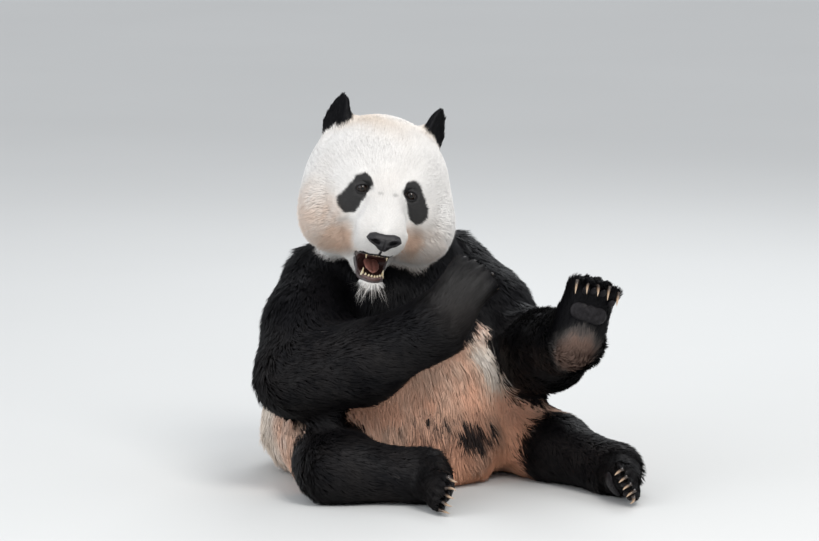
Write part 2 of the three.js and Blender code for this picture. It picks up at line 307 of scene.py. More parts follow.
def claws_of(paw):
    """The middles of a paw's five claws."""
    return [middle(f"claw_{paw}_{i}") for i in DIGITS]


def eyeball(side):
    """The centre and radius of an eye."""
    low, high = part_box(f"eye_{side}")
    return np.array((low + high) / 2), (high - low).x / 2


def tree_of(names):
    """A search tree over the faces of some CAD nodes, and the index of the node that each face is of."""
    places, faces, owner = [], [], []
    for index, name in enumerate(names):
        mesh = frame["nodes"][name].data
        start = len(places)
        places += [tuple(v.co) for v in mesh.vertices]
        faces += [tuple(start + i for i in p.vertices) for p in mesh.polygons]
        owner += [index] * len(mesh.polygons)
    return BVHTree.FromPolygons(places, faces), np.array(owner)


def joint(a, b):
    """Where two neighbouring nodes meet: the middle of the corners of `a` that lie against `b`."""
    tree, _ = tree_of([b])
    corners = corners_of(a)
    apart = np.array([tree.find_nearest(Vector(p))[3] for p in corners])
    return corners[apart < apart.min() + 0.002].mean(0)


SEAT = np.array(frame["record"]["mounts"][0]["pos_m"], float)
UP = np.array((0.0, 0.0, 1.0))


def head_frame():
    """The head's frame, read off the two eyes: its sideways axis lies level apart from the tilt."""
    right, left = middle("eye_right"), middle("eye_left")
    x = unit(left - right)
    ahead = Local((right + left) / 2, x, np.cross(UP, x))
    ahead.origin = ahead.outward((0, 0.124, -0.015))  # in the skull, behind the eyes
    return ahead


def trunk_frame():
    """The trunk's frame: over the seat, with the tail straight behind."""
    back = middle("tail") - SEAT
    back[2] = 0
    return Local(SEAT, np.cross(back, UP), back)


def paw_frame(side, limb, above):
    """A paw's frame: from its joint towards its claws, x from the first claw to the fifth."""
    name = f"{limb}_{side}"
    claws = claws_of(name)
    root = joint(name, f"{above}_{side}")
    return Local(root, claws[4] - claws[0], root - middle(name))


HEAD = head_frame()
TRUNK = trunk_frame()
GAPE = math.radians(17)  # how far the jaw has dropped
JAW_WAY = HEAD.way((0, math.cos(GAPE), math.sin(GAPE)))
JAW = Local(HEAD.outward((0, -0.010, -0.070)), HEAD.way((1, 0, 0)), JAW_WAY)
ABOVE = {"forepaw": "forearm", "hindpaw": "shin"}  # what each paw hangs on
PAWS = {f"{limb}_{side}": paw_frame(side, limb, ABOVE[limb]) for limb in ABOVE for side in SIDES}
# The two nodes that meet at each joint of a limb.
MEETINGS = {
    "shoulder": ("upper_arm_{}", "chest"),
    "elbow": ("upper_arm_{}", "forearm_{}"),
    "wrist": ("forearm_{}", "forepaw_{}"),
    "hip": ("thigh_{}", "abdomen"),
    "knee": ("thigh_{}", "shin_{}"),
    "ankle": ("shin_{}", "hindpaw_{}"),
}
JOINTS = {
    f"{name}_{side}": joint(node.format(side), other.format(side))
    for name, (node, other) in MEETINGS.items()
    for side in SIDES
}


# ---- Settings --------------------------------------------------------------------------------
def colour_setting(name, description, default):
    """A colour that the user may change."""
    return bpy.props.FloatVectorProperty(
        name=name, description=description, subtype="COLOR", size=3, default=default
    )


class CoatSettings(bpy.types.PropertyGroup):
    """Colours and growth of the coat."""

    white: colour_setting("White", "Clean white fur", (0.94, 0.915, 0.885))
    cream: colour_setting("Cream", "Worn white fur of the body", (0.72, 0.59, 0.475))
    stain: colour_setting("Stain", "Earth-stained fur", (0.78, 0.425, 0.290))
    rust: colour_setting("Rust", "Reddest fur, inside the thighs", (0.66, 0.31, 0.185))
    black: colour_setting("Black", "Black fur", (0.0045, 0.0043, 0.0055))
    density: bpy.props.FloatProperty(
        name="Density", description="Tufts grown, against the usual number", default=1.0, min=0.1, max=1.2
    )
    seed: bpy.props.IntProperty(name="Seed", description="Which random coat is grown", default=7)


class FaceSettings(bpy.types.PropertyGroup):
    """Sizes and colours of the eyes, nose and mouth."""

    iris: colour_setting("Iris", "Colour of the iris", (0.010, 0.005, 0.003))
    leather: colour_setting("Leather", "Nose and pads", (0.009, 0.008, 0.009))
    lip: colour_setting("Lip", "Bare lip", (0.085, 0.062, 0.062))
    tongue: colour_setting("Tongue", "Tongue", (0.33, 0.135, 0.105))
    gum: colour_setting("Gum", "Gums round the teeth", (0.115, 0.058, 0.052))
    enamel: colour_setting("Enamel", "Teeth", (0.60, 0.43, 0.20))
    horn: colour_setting("Horn", "Claws", (0.40, 0.28, 0.19))
    lid_gap: bpy.props.FloatProperty(
        name="Lid gap", description="Half height of the opening between the lids", subtype="DISTANCE",
        unit="LENGTH", default=0.0080, min=0.002, max=0.011,
    )


class StageSettings(bpy.types.PropertyGroup):
    """Camera and light."""

    distance: bpy.props.FloatProperty(
        name="Distance", description="Camera to the aim", subtype="DISTANCE", unit="LENGTH", default=9.0
    )
    rise: bpy.props.FloatProperty(
        name="Rise", description="Camera's height above the horizon", subtype="ANGLE", unit="ROTATION",
        default=math.radians(8),
    )
    lens: bpy.props.FloatProperty(name="Lens", description="Focal length in millimetres", default=203.0)
    aim: bpy.props.FloatVectorProperty(
        name="Aim", description="Point looked at, from the seat", subtype="XYZ", unit="LENGTH", size=3,
        default=(0.0445, -0.100, 0.4078),
    )
    key: bpy.props.FloatProperty(name="Key", description="Power of the main light, in watts", default=120.0)
    sky: bpy.props.FloatProperty(name="Sky", description="Strength of the light all round", default=0.82)


# ---- Materials -------------------------------------------------------------------------------
class Nodes:
    """A material's node tree, wired in few words."""

    def __init__(self, name):
        self.material = bpy.data.materials.new(name)
        self.material.use_nodes = True
        self.tree = self.material.node_tree
        self.shader = self.tree.nodes["Principled BSDF"]

    def add(self, kind, inputs=(), **values):
        """Adds a node, with its inputs by name or number: a socket is linked, anything else set."""
        node = self.tree.nodes.new(kind)
        for key, value in values.items():
            setattr(node, key, value)
        for key, value in dict(inputs).items():
            self.put(node, key, value)
        return node

    def put(self, node, key, value):
        """Links or sets one input."""
        if isinstance(value, bpy.types.NodeSocket):
            self.tree.links.new(value, node.inputs[key])
        else:
            node.inputs[key].default_value = value

    def field(self, name):
        """The numbers stored on the mesh under this name."""
        return self.add("ShaderNodeAttribute", attribute_name=name).outputs["Fac"]

    def place(self):
        """The point in the object's own coordinates."""
        return self.add("ShaderNodeTexCoord").outputs["Object"]

    def noise(self, scale, detail=3.0):
        """Soft noise, 0 to 1."""
        spots = {"Vector": self.place(), "Scale": scale, "Detail": detail}
        return self.add("ShaderNodeTexNoise", spots).outputs["Fac"]

    def pebbles(self, scale):
        """Small rounded cells: the distance from the middle of each."""
        spots = {"Vector": self.place(), "Scale": scale}
        return self.add("ShaderNodeTexVoronoi", spots).outputs["Distance"]

    def remap(self, value, low, high, to_low=0.0, to_high=1.0):
        """A value's range brought to another."""
        ends = {0: value, 1: low, 2: high, 3: to_low, 4: to_high}
        return self.add("ShaderNodeMapRange", ends).outputs[0]

    def blotches(self, scale, low, high, to_low=0.0, to_high=1.0):
        """Soft noise with its range brought to another."""
        return self.remap(self.noise(scale), low, high, to_low, to_high)

    def math(self, operation, a, b):
        """Two numbers combined."""
        return self.add("ShaderNodeMath", {0: a, 1: b}, operation=operation).outputs[0]

    def blend(self, a, b, share, blend_type="MIX"):
        """Two colours mixed, each a socket or a plain tuple."""
        a, b = ((*tone, 1.0) if isinstance(tone, tuple) else tone for tone in (a, b))
        ends = {0: share, 6: a, 7: b}
        return self.add("ShaderNodeMix", ends, data_type="RGBA", blend_type=blend_type).outputs[2]

    def bump(self, height, distance, strength=1.0):
        """Wires a bump of this real height."""
        node = self.add("ShaderNodeBump", {"Height": height, "Distance": distance, "Strength": strength})
        self.put(self.shader, "Normal", node.outputs["Normal"])

    def surface(self, **values):
        """Sets the shader's own sockets. An underscore stands for a space."""
        for key, value in values.items():
            self.put(self.shader, key.replace("_", " "), value)
        return self.material


def colour(value):
    """A colour setting as a plain tuple."""
    return tuple(value[:3])


def coat_colour(wires, coat):
    """The markings, from the fields that skin and coat share."""
    body = wires.blend(colour(coat.white), colour(coat.cream), wires.field("worn"))
    body = wires.blend(body, colour(coat.stain), wires.field("stain"))
    body = wires.blend(body, colour(coat.rust), wires.field("rust"))
    return wires.blend(body, colour(coat.black), wires.field("dark"))


def coat_material(coat):
    """Fur: a soft fibre, matt where it is pale, painted a little darker towards its root as shade deep in
    the coat.
    """
    wires = Nodes("fur")
    body = coat_colour(wires, coat)
    # painted shade: each tuft is darkened towards its root, for the shade deep in the coat
    root = wires.remap(wires.field("tip"), 0.0, 1.0, 0.90, 1.0)
    strand = wires.remap(wires.field("strand"), 0.0, 1.0, 0.90, 1.06)
    # the painted root shade times each strand's own random tone
    shade = wires.math("MULTIPLY", root, strand)
    grey = wires.add("ShaderNodeCombineColor", {0: shade, 1: shade, 2: shade}).outputs[0]
    tone = wires.blend(body, grey, 1.0, "MULTIPLY")
    rough = wires.remap(wires.field("dark"), 0.0, 1.0, 0.85, 0.50)
    return wires.surface(Base_Color=tone, Roughness=rough, Specular_IOR_Level=0.12)


def skin_material(coat, face):
    """Skin under the coat, painted a quarter darker as shade among the tufts, with bare black lids and lips
    and a dark mouth.
    """
    wires = Nodes("skin")
    body = coat_colour(wires, coat)
    shaded, deep, moist = (0.60, 0.55, 0.50), (0.030, 0.013, 0.011), (0.07, 0.030, 0.025)
    # painted shade: the skin is multiplied a quarter of the way towards a dim grey, for the shade under the
    # tufts
    under = wires.blend(body, shaded, 0.25, "MULTIPLY")
    bare = wires.blend(under, colour(face.leather), wires.field("bare"))
    lining = wires.blend(deep, moist, wires.noise(60.0))
    whole = wires.blend(bare, lining, wires.field("mouth"))
    rough = wires.remap(wires.field("mouth"), 0.0, 1.0, 0.75, 0.35)
    wires.bump(wires.math("MULTIPLY", wires.pebbles(420.0), wires.noise(150.0)), 0.0006)
    return wires.surface(Base_Color=whole, Roughness=rough, Specular_IOR_Level=0.3)


def leather_material(face, name, gloss):
    """Pebbled bare skin: a wetter kind for the nose, a drier one for the pads."""
    wires = Nodes(name)
    worn = (0.022, 0.020, 0.022)
    tone = wires.blend(colour(face.leather), worn, wires.blotches(120.0, 0.35, 0.7))
    rough = wires.blotches(90.0, 0.3, 0.7, 0.32, 0.5)
    wires.bump(wires.pebbles(520.0), 0.0005, 0.8)
    return wires.surface(Base_Color=tone, Roughness=rough, Specular_IOR_Level=gloss)


def horn_material(face):
    """Claw horn: darker at the root, with fine streaks along it."""
    wires = Nodes("claw_horn")
    along = wires.field("along")
    streaks = wires.noise(900.0, 2.0)
    tip, root, streak = (0.66, 0.54, 0.42), (0.045, 0.032, 0.025), (0.72, 0.62, 0.52)
    pale = wires.blend(colour(face.horn), tip, wires.remap(along, 0.3, 1.0))
    dark = wires.blend(root, pale, wires.remap(along, 0.22, 0.62))
    tone = wires.blend(dark, streak, wires.remap(streaks, 0.4, 0.9, 0.75, 1.0), "MULTIPLY")
    wires.bump(streaks, 0.0002)
    return wires.surface(Base_Color=tone, Roughness=0.38, Specular_IOR_Level=0.5, Coat_Weight=0.15)


def eye_material(face):
    """Eyeball: black pupil, near-black iris with fine spokes, darker rim, and a wet surface."""
    wires = Nodes("eye")
    turn = wires.field("turn")
    bands = {"W": wires.math("MULTIPLY", wires.field("around"), 26.0), "Scale": 1.0, "Detail": 2.0}
    spokes = wires.add("ShaderNodeTexNoise", bands, noise_dimensions="1D").outputs["Fac"]
    pupil, spoke = (0.0006, 0.0006, 0.0006), (0.022, 0.011, 0.006)
    edge, dim_white = (0.002, 0.0015, 0.0015), (0.035, 0.025, 0.020)
    iris = wires.blend(colour(face.iris), spoke, wires.remap(spokes, 0.35, 0.75))
    inner = wires.blend(pupil, iris, wires.remap(turn, 0.24, 0.28))
    rim = wires.blend(inner, edge, wires.remap(turn, 0.50, 0.60))
    white = wires.blend(rim, dim_white, wires.remap(turn, 0.80, 0.92))
    return wires.surface(
        Base_Color=white, Roughness=0.2, Specular_IOR_Level=0.05, Coat_Weight=0.55, Coat_Roughness=0.03
    )


def flesh_material(name, tone, shade):
    """Wet flesh: lip, tongue or gum. `shade` darkens its blotches."""
    wires = Nodes(name)
    darker = tuple(c * shade for c in tone)
    body = wires.blend(tone, darker, wires.blotches(160.0, 0.35, 0.7))
    wires.bump(wires.noise(500.0), 0.0004)
    return wires.surface(Base_Color=body, Roughness=0.32, Specular_IOR_Level=0.5, Coat_Weight=0.2)


def enamel_material(face):
    """Teeth, yellowed in soft blotches."""
    wires = Nodes("enamel")
    clean = (0.80, 0.72, 0.55)
    tone = wires.blend(colour(face.enamel), clean, wires.blotches(220.0, 0.3, 0.7))
    return wires.surface(Base_Color=tone, Roughness=0.22, Specular_IOR_Level=0.5)


# ---- Markings of the coat --------------------------------------------------------------------
# Regions in the frame of the head. BROW, CHEEK and WHISKER_PAD stand for both sides.
MOUTH = Egg((0, -0.112, -0.125), (0.036, 0.054, 0.035))
MOUTH_CORNER = Egg((-0.070, -0.090, -0.112), (0.030, 0.035, 0.020))
BROW = Egg((0.014, -0.154, 0.012), (0.0065, 0.03, 0.0034))
CHEEK = Egg((0.115, -0.02, -0.075), (0.07, 0.12, 0.085))
WHISKER_PAD = Egg((0.034, -0.165, -0.082), (0.016, 0.03, 0.014))
BRIDGE = Egg((0, -0.130, -0.015), (0.036, 0.070, 0.042))
MUZZLE = Egg((0, -0.150, -0.058), (0.052, 0.085, 0.056))
CLEAN_MUZZLE = Egg((0, -0.155, -0.050), (0.047, 0.070, 0.066))
PAINTED_MUZZLE_SHADE = Egg((0, -0.150, -0.045), (0.045, 0.080, 0.070))
PAINTED_MOUTH_CORNER_SHADE = Egg((-0.078, -0.105, -0.084), (0.048, 0.10, 0.045))
# The stains of the cheeks, two on the right and two on the left: how strong each is, where it ends and
# where it is full in its radii, and its place.
CHEEK_STAINS = (
    (1.05, 1.20, 0.2, Egg((-0.070, -0.105, -0.088), (0.050, 0.10, 0.048))),
    (0.62, 1.15, 0.3, Egg((-0.112, -0.070, -0.060), (0.072, 0.11, 0.080))),
    (1.00, 1.20, 0.2, Egg((0.062, -0.118, -0.080), (0.036, 0.09, 0.050))),
    (0.34, 1.10, 0.3, Egg((0.096, -0.090, -0.078), (0.060, 0.10, 0.060))),
)
# Regions in the frames of the jaw, the right forepaw and the left forepaw, and three of the trunk.
CHIN = Egg((0, -0.148, -0.052), (0.034, 0.036, 0.020))
# painted sheen on the back of the right hand, in the right forepaw's frame
PAINTED_HAND_SHEEN = Egg((0, -0.055, 0.020), (0.075, 0.088, 0.08))
WET_WRIST = Egg((0, 0.018, -0.050), (0.052, 0.062, 0.045))
GROIN = Egg((0.055, -0.28, 0.07), (0.17, 0.16, 0.125))
GROIN_HOLLOW_SHADE = Egg((0.024, -0.280, 0.106), (0.048, 0.10, 0.038))
MOTTLED = Egg((-0.060, -0.262, 0.115), (0.080, 0.12, 0.052))


def folded(h):
    """Head points brought over to the animal's left."""
    return np.abs(h) * (1, 0, 0) + h * (0, 1, 1)


def eye_patch(h):
    """How far head points lie outside the drop-shaped patch round either eye."""
    flat = np.stack([np.abs(h[:, 0]), h[:, 2]], 1)
    top, low = (0.0475, 0.0245), (0.0672, -0.0160)
    return np.where(h[:, 1] < -0.05, capsule(flat, top, low, 0.0180, 0.0208), 0.2)


def lip_line(h):
    """How far head points lie from the edge of the upper lip and from the groove below the nose."""
    across = folded(h)
    corner, side, middle_lip = (0.040, -0.116, -0.112), (0.025, -0.154, -0.1025), (0, -0.166, -0.1015)
    back = capsule(across, corner, side, 0.0024, 0.0046)
    front = capsule(across, side, middle_lip, 0.0046, 0.0058)
    groove = capsule(across, middle_lip, (0, -0.196, -0.090), 0.0026, 0.0018)
    return np.minimum(np.minimum(back, front), groove)


def markings(points, nature):
    """What skin and coat share: how dark, worn, stained and rusty some points are, with painted shade, sheen
    and light among these.

    `nature` holds the skin's own fields at these points.
    """
    h = HEAD.inward(points)
    t = TRUNK.inward(points)
    rough = drift(points, 0.012, 1) * 0.5 + drift(points, 0.035, 2) * 0.5
    patchy = drift(points, 0.05, 3)
    black = nature["black"]
    head = nature["head"]
    face = ease(0.3, 0.6, head)
    body = 1 - ease(0.2, 0.8, head)
    pale = 1 - 0.8 * ease(0.6, 1.0, black)

    # The long hair of the left wrist is brown where it is wetted.
    wet = WET_WRIST.reach(PAWS["forepaw_left"].inward(points)) + 0.15 * rough
    wet = 0.26 * ease(1.15, 0.5, wet)
    # spot is the painted shade of the hollow between the thighs, with the mottled fur beside it
    spot = groin_spot(points, t, rough, patchy) * (1 - black)
    dark = np.maximum(body_dark(points, black, body, rough), face_dark(points, h, rough) * face)
    dark = np.clip(dark, 0, 1)
    dark = np.maximum(dark, spot) - wet * dark

    cheeks = cheek_stain(h, rough)
    stain = np.maximum((0.48 * cheeks - 0.06) * head, belly_stain(t, rough, patchy) * body * pale)
    rust = 0.92 * ease(1.1, 0.30, GROIN.reach(t) + 0.14 * rough + 0.16 * patchy) * body
    fields = {
        "dark": dark,
        "worn": wear(h, t, head, cheeks, rough, patchy) * pale,
        "stain": np.maximum(stain, wet * 3),
        # no rust under the painted shade between the thighs, nor on the mottled fur
        "rust": rust * pale * (1 - spot),
    }
    return {name: np.clip(values, 0, 1) for name, values in fields.items()}


def body_dark(points, black, body, rough):
    """The black of the limbs: dusty on the legs, grizzled at the hips, with a painted sheen on the back of
    the right hand.
    """
    low = ease(0.36, 0.28, points[:, 2]) * body
    grizzle = 1.6 * black * (1 - black) * drift(points, 0.004, 6) * low
    dark = ease(0.25, 0.75, black + 0.22 * rough + grizzle)
    dark -= 0.009 * low * (1 + rough)
    # painted sheen: the black is lightened over the back of the right hand
    hand = PAINTED_HAND_SHEEN.reach(PAWS["forepaw_right"].inward(points)) + 0.2 * rough
    return dark - 0.038 * ease(1.2, 0.3, hand)


def face_dark(points, h, rough):
    """The patches round the eyes with a painted sheen, the marks of the brows, painted shade greying the
    muzzle a little, and painted shade by the right corner of the mouth.
    """
    ragged = 0.0008 * rough + 0.0012 * drift(points, 0.008, 7)
    # the patches stop just short of full black: a painted sheen on their short hair
    patch = 0.958 * ease(0.0015, -0.0015, eye_patch(h) + ragged)
    brow = 0.40 * ease(1.5, 0.3, BROW.reach(folded(h)) + 0.3 * rough)
    # painted shade beside the muzzle by the right corner of the mouth
    cheek = 0.19 * ease(1.2, 0.3, PAINTED_MOUTH_CORNER_SHADE.reach(h) + 0.15 * rough)
    # painted shade that greys the muzzle a little
    muzzle = 0.09 * ease(1.3, 0.8, PAINTED_MUZZLE_SHADE.reach(h))
    return np.max([patch, brow, cheek, muzzle], axis=0)


def groin_spot(points, t, rough, patchy):
    """Painted shade: the hollow between the thighs drawn as a black spot, grey round its edge; with the
    mottled fur towards the right thigh.
    """
    # painted shade of the hollow between the thighs
    spot = GROIN_HOLLOW_SHADE.reach(t) + 0.45 * rough + 0.2 * patchy
    spot = np.maximum(0.985 * ease(1.2, 0.5, spot), 0.45 * ease(2.1, 1.0, spot))
    mottled = 0.70 * ease(1.25, 0.3, MOTTLED.reach(t) + 0.35 * rough)
    return np.maximum(spot, mottled * (0.75 + 0.6 * drift(points, 0.006, 5)))


def wear(h, t, head, cheeks, rough, patchy):
    """How worn: little on the head and nape, more further down, and most on the belly."""
    body = mix(0.85, 0.30, ease(0.15, 0.45, t[:, 2])) + 0.22 * rough
    # painted light: the upper left of the belly is less worn
    body += 0.7 * ease(-0.08, -0.14, t[:, 1]) - 0.7 * clean_side(t)
    crown = ease(0.09, 0.16, h[:, 2]) * (0.55 + 0.3 * patchy)
    return mix(body, ease(-0.3, 1.2, patchy) * 0.10 + cheeks * 1.2 + crown, head)


def cheek_stain(h, rough):
    """The cheeks are stained beside the muzzle, where paws and food touch them, and less further out."""
    stains = [strength * ease(end, full, egg.reach(h)) for strength, end, full, egg in CHEEK_STAINS]
    clear = np.where(h[:, 0] < 0, 1.35, 1.12)
    beside = ease(0.94, clear, CLEAN_MUZZLE.reach(h))
    return np.max(stains, axis=0) * beside * (0.85 + 0.3 * rough)


def clean_side(t):
    """Painted light: the upper left of the belly, made paler where more light falls."""
    return ease(0.0, 0.08, t[:, 0]) * ease(0.02, -0.08, t[:, 1]) * ease(0.16, 0.22, t[:, 2])


def belly_stain(t, rough, patchy):
    """The belly is stained from the groin up to the arms, and fades round the flanks; the rump is too."""
    side = np.degrees(np.arctan2(t[:, 0], -t[:, 1]))
    front = ease(104, 48, np.abs(side + 4 + 8 * patchy))
    # painted light: less stain on the upper left of the belly
    belly = front * (0.84 + 0.30 * patchy + 0.22 * rough - 0.6 * clean_side(t))
    low_back = 0.22 * ease(0.10, 0.0, t[:, 2]) * (1 + rough)
    return np.maximum(belly * ease(0.42, 0.34, t[:, 2]), low_back)


# ---- Growth of the coat ----------------------------------------------------------------------
MM = 0.001
# Depth of the coat over the skin, length and width of a tuft, in millimetres, and tufts to the square
# centimetre, for each part of the body.
GROWTH_FIELDS = ("depth", "length", "width", "density")
GROWTH = {
    "head": (8, 15, 1.35, 38),
    "jaw": (3, 7, 1.3, 36),
    "ear": (3.5, 9, 1.5, 34),
    "neck": (20, 34, 2.5, 13.0),
    "chest": (20, 36, 3.0, 11.0),
    "abdomen": (20, 38, 2.7, 11.2),
    "tail": (16, 34, 3.0, 12),
    "upper_arm": (18, 32, 2.9, 11.4),
    "forearm": (16, 30, 2.8, 12.4),
    "forepaw": (8, 16, 2.2, 22),
    "thigh": (18, 34, 3.0, 11.5),
    "shin": (13, 25, 2.6, 14),
    "hindpaw": (5, 11, 2.0, 24),
}
# The way the hair lies on the head and trunk.
LIE = {
    "head": HEAD.way((0, 1, 0)),
    "jaw": HEAD.way((0, 0.6, -1)),
    "ear": HEAD.way((0, 0, 1)),
    "neck": TRUNK.way((0, 0.15, -1)),
    "chest": TRUNK.way((0, 0.1, -1)),
    "abdomen": TRUNK.way((0, 0.15, -1)),
    "tail": TRUNK.way((0, 0.5, -1)),
}
# The joints at the two ends of each part of a limb. Hair lies from the first to the second.
ENDS = {
    "upper_arm": ("shoulder", "elbow"),
    "forearm": ("elbow", "wrist"),
    "thigh": ("hip", "knee"),
    "shin": ("knee", "ankle"),
}
THIGH_BLACK = {"right": (0.35, 0.60), "left": (0.68, 1.05)}  # where the fur turns, from hip to knee


def kind_of(node):
    """A node's part of the body, whichever side it is on."""
    return node.rsplit("_", 1)[0] if node.endswith(SIDES) else node


def lie_of(node):
    """The way the hair lies on a node of the body."""
    kind, side = kind_of(node), node.rsplit("_", 1)[-1]
    if kind in LIE:
        return LIE[kind]
    if kind in ENDS:
        start, end = (JOINTS[f"{name}_{side}"] for name in ENDS[kind])
        return unit(end - start) + (0, 0, -0.35)
    return PAWS[node].way((0, -1, 0))


def spread(values, edges, count, rounds):
    """Values at the corners of a mesh, evened out with their neighbours'."""
    values = np.asarray(values, float)
    flat = values.reshape(count, -1)
    degree = np.bincount(edges.ravel(), minlength=count)[:, None]
    for _ in range(rounds):
        total = np.empty_like(flat)
        for k in range(flat.shape[1]):
            total[:, k] = np.bincount(edges[:, 0], flat[edges[:, 1], k], count)
            total[:, k] += np.bincount(edges[:, 1], flat[edges[:, 0], k], count)
        flat = 0.4 * flat + 0.6 * total / degree
    return flat.reshape(values.shape)


def within(part, *nodes):
    """Which corners or tufts are on these nodes of flesh."""
    return np.isin(part, [FLESH.index(node) for node in nodes])


def nature_of(mesh):
    """What each corner of the skin is: its part of the body, its growth and the lie of its hair."""
    places = places_of(mesh)
    count = len(places)
    edges = edges_of(mesh)
    tree, owner = tree_of(FLESH)
    part = np.array([owner[tree.find_nearest(Vector(p))[2]] for p in places])
    growth = np.array([GROWTH[kind_of(name)] for name in FLESH], float)[part]
    growth = spread(growth, edges, count, rounds=10)
    lie = np.array([lie_of(name) for name in FLESH])[part]
    head = within(part, "head", "jaw").astype(float)

    nature = dict(zip(GROWTH_FIELDS, growth.T))
    nature["part"] = part
    nature["lie"] = unit(spread(lie, edges, count, rounds=25))
    nature["head"] = spread(head, edges, count, rounds=3)
    nature["black"] = spread(black_of(places, part), edges, count, rounds=3)
    return nature


def black_of(places, part):
    """Black limbs, ears and yoke, 1 where black, on a white head and trunk."""
    black = np.where(within(part, "head", "jaw", "tail", "abdomen"), 0.0, 1.0)
    black = np.where(within(part, "neck"), neck_black(places), black)
    black = np.where(within(part, "chest"), chest_black(places), black)
    for side in SIDES:
        start, end = JOINTS[f"hip_{side}"], JOINTS[f"knee_{side}"]
        along = (places - start) @ unit(end - start) / np.linalg.norm(end - start)
        black = np.where(within(part, f"thigh_{side}"), ease(*THIGH_BLACK[side], along), black)
    return black


def neck_black(places):
    """The throat is black and the nape white, parted by an edge that slopes down towards the back."""
    t = TRUNK.inward(places)
    level = t[:, 2] + 0.25 * np.maximum(t[:, 1], -0.05)
    return ease(0.515, 0.485, level)


def chest_black(places):
    """The black yoke over chest and shoulders: the back below the shoulder blades is white."""
    t = TRUNK.inward(places)
    front, behind = 0.30, 0.352 - 1.4 * t[:, 0] ** 2
    lower = mix(front, behind, ease(-0.04, 0.04, t[:, 1])) + 0.012 * drift(places, 0.03, 6)
    return ease(-0.01, 0.01, t[:, 2] - lower) * neck_black(places)


def groom_head(nature, places):
    """The face's own growth: velvet on the muzzle and round the eyes, long on the cheeks."""
    h = HEAD.inward(places)
    on_head = nature["head"]
    velvet = np.maximum(ease(1.6, 0.95, MUZZLE.reach(h)), ease(3.0, 0.8, BRIDGE.reach(h)))
    velvet = np.maximum(velvet, ease(0.040, -0.006, eye_patch(h)))
    cheek = ease(1.35, 0.5, CHEEK.reach(folded(h)))
    behind = ease(-0.02, 0.05, h[:, 1])
    own = {
        "depth": mix(mix(8, 16, cheek), 2.6, velvet),
        "length": mix(mix(mix(15, 34, cheek), 6, velvet), 3.2, ease(0.012, 0.002, lip_line(h))),
        "width": mix(mix(mix(1.35, 2.0, behind), 1.45, cheek), 1.15, velvet),
        "density": mix(mix(mix(38, 19, behind), 28, cheek), 56, velvet),
    }
    for field, values in own.items():
        nature[field] = mix(nature[field], values, on_head)
    # Hair lies away from the nose, up over the brow, back along the cheeks, and down behind.
    away = unit(h - (0, -0.20, -0.055))
    away += np.stack([0.5 * np.sign(h[:, 0]) * cheek, 0 * cheek, -0.75 * cheek], 1)
    away = mix(unit(away), np.array((0, 0.1, -1)), ease(0.015, 0.085, h[:, 1])[:, None])
    nature["lie"] = mix(nature["lie"], HEAD.way(away), on_head[:, None])


def combed(lie, normals, edges, rounds):
    """Lies laid along the skin and evened out, so that no whorl is left where one points out of it."""
    lie = lie + np.array((0, 0, -0.12))
    along = lie - normals * (lie * normals).sum(1)[:, None]
    return unit(spread(along, edges, len(along), rounds))


# ---- Skin ------------------------------------------------------------------------------------
SKIN_CELL = 0.0070
LOWEST_SKIN = 0.0008  # over the floor
LOWEST_HAIR = 0.0004


def split_faces(o, inside):
    """Splits each chosen face of a piece into four."""
    select_only(o)
    bpy.ops.object.mode_set(mode="EDIT")
    bpy.ops.mesh.select_mode(type="FACE")
    bpy.ops.mesh.select_all(action="DESELECT")
    bpy.ops.object.mode_set(mode="OBJECT")
    o.data.polygons.foreach_set("select", inside)
    bpy.ops.object.mode_set(mode="EDIT")
    bpy.ops.mesh.subdivide(number_cuts=1, smoothness=0.6)
    bpy.ops.object.mode_set(mode="OBJECT")


def near(points, centre, radius):
    """Which points lie near a place."""
    return np.linalg.norm(points - centre, axis=1) < radius


def refine_skin(o):
    """Makes the skin finer over the face and digits, again at mouth and eyes, and again at the lids."""
    eyes = [HEAD.inward(middle(f"eye_{side}")) for side in SIDES]
    face, lips = np.array((0, -0.12, -0.05)), np.array((0, -0.15, -0.09))
    for balls in (
        [(face, 0.115)],
        [(lips, 0.070), (eyes[0], 0.040), (eyes[1], 0.040)],
        [(eyes[0], 0.019), (eyes[1], 0.019)],
    ):
        h = HEAD.inward(centres_of(o.data))
        split_faces(o, np.any([near(h, centre, radius) for centre, radius in balls], axis=0))
    centres = centres_of(o.data)
    claws = [claw for paw in PAWS for claw in claws_of(paw)]
    split_faces(o, np.any([near(centres, claw, 0.040) for claw in claws], axis=0))


def lid_edge(u, v, gap):
    """How far a place lies outside the almond between the lids, in the almond's own size."""
    width = 0.0114
    below = 0.82 * gap  # the lower lid opens less than the upper
    return np.sqrt((u / width) ** 2 + (v / np.where(v > 0, gap, below)) ** 2) - 1


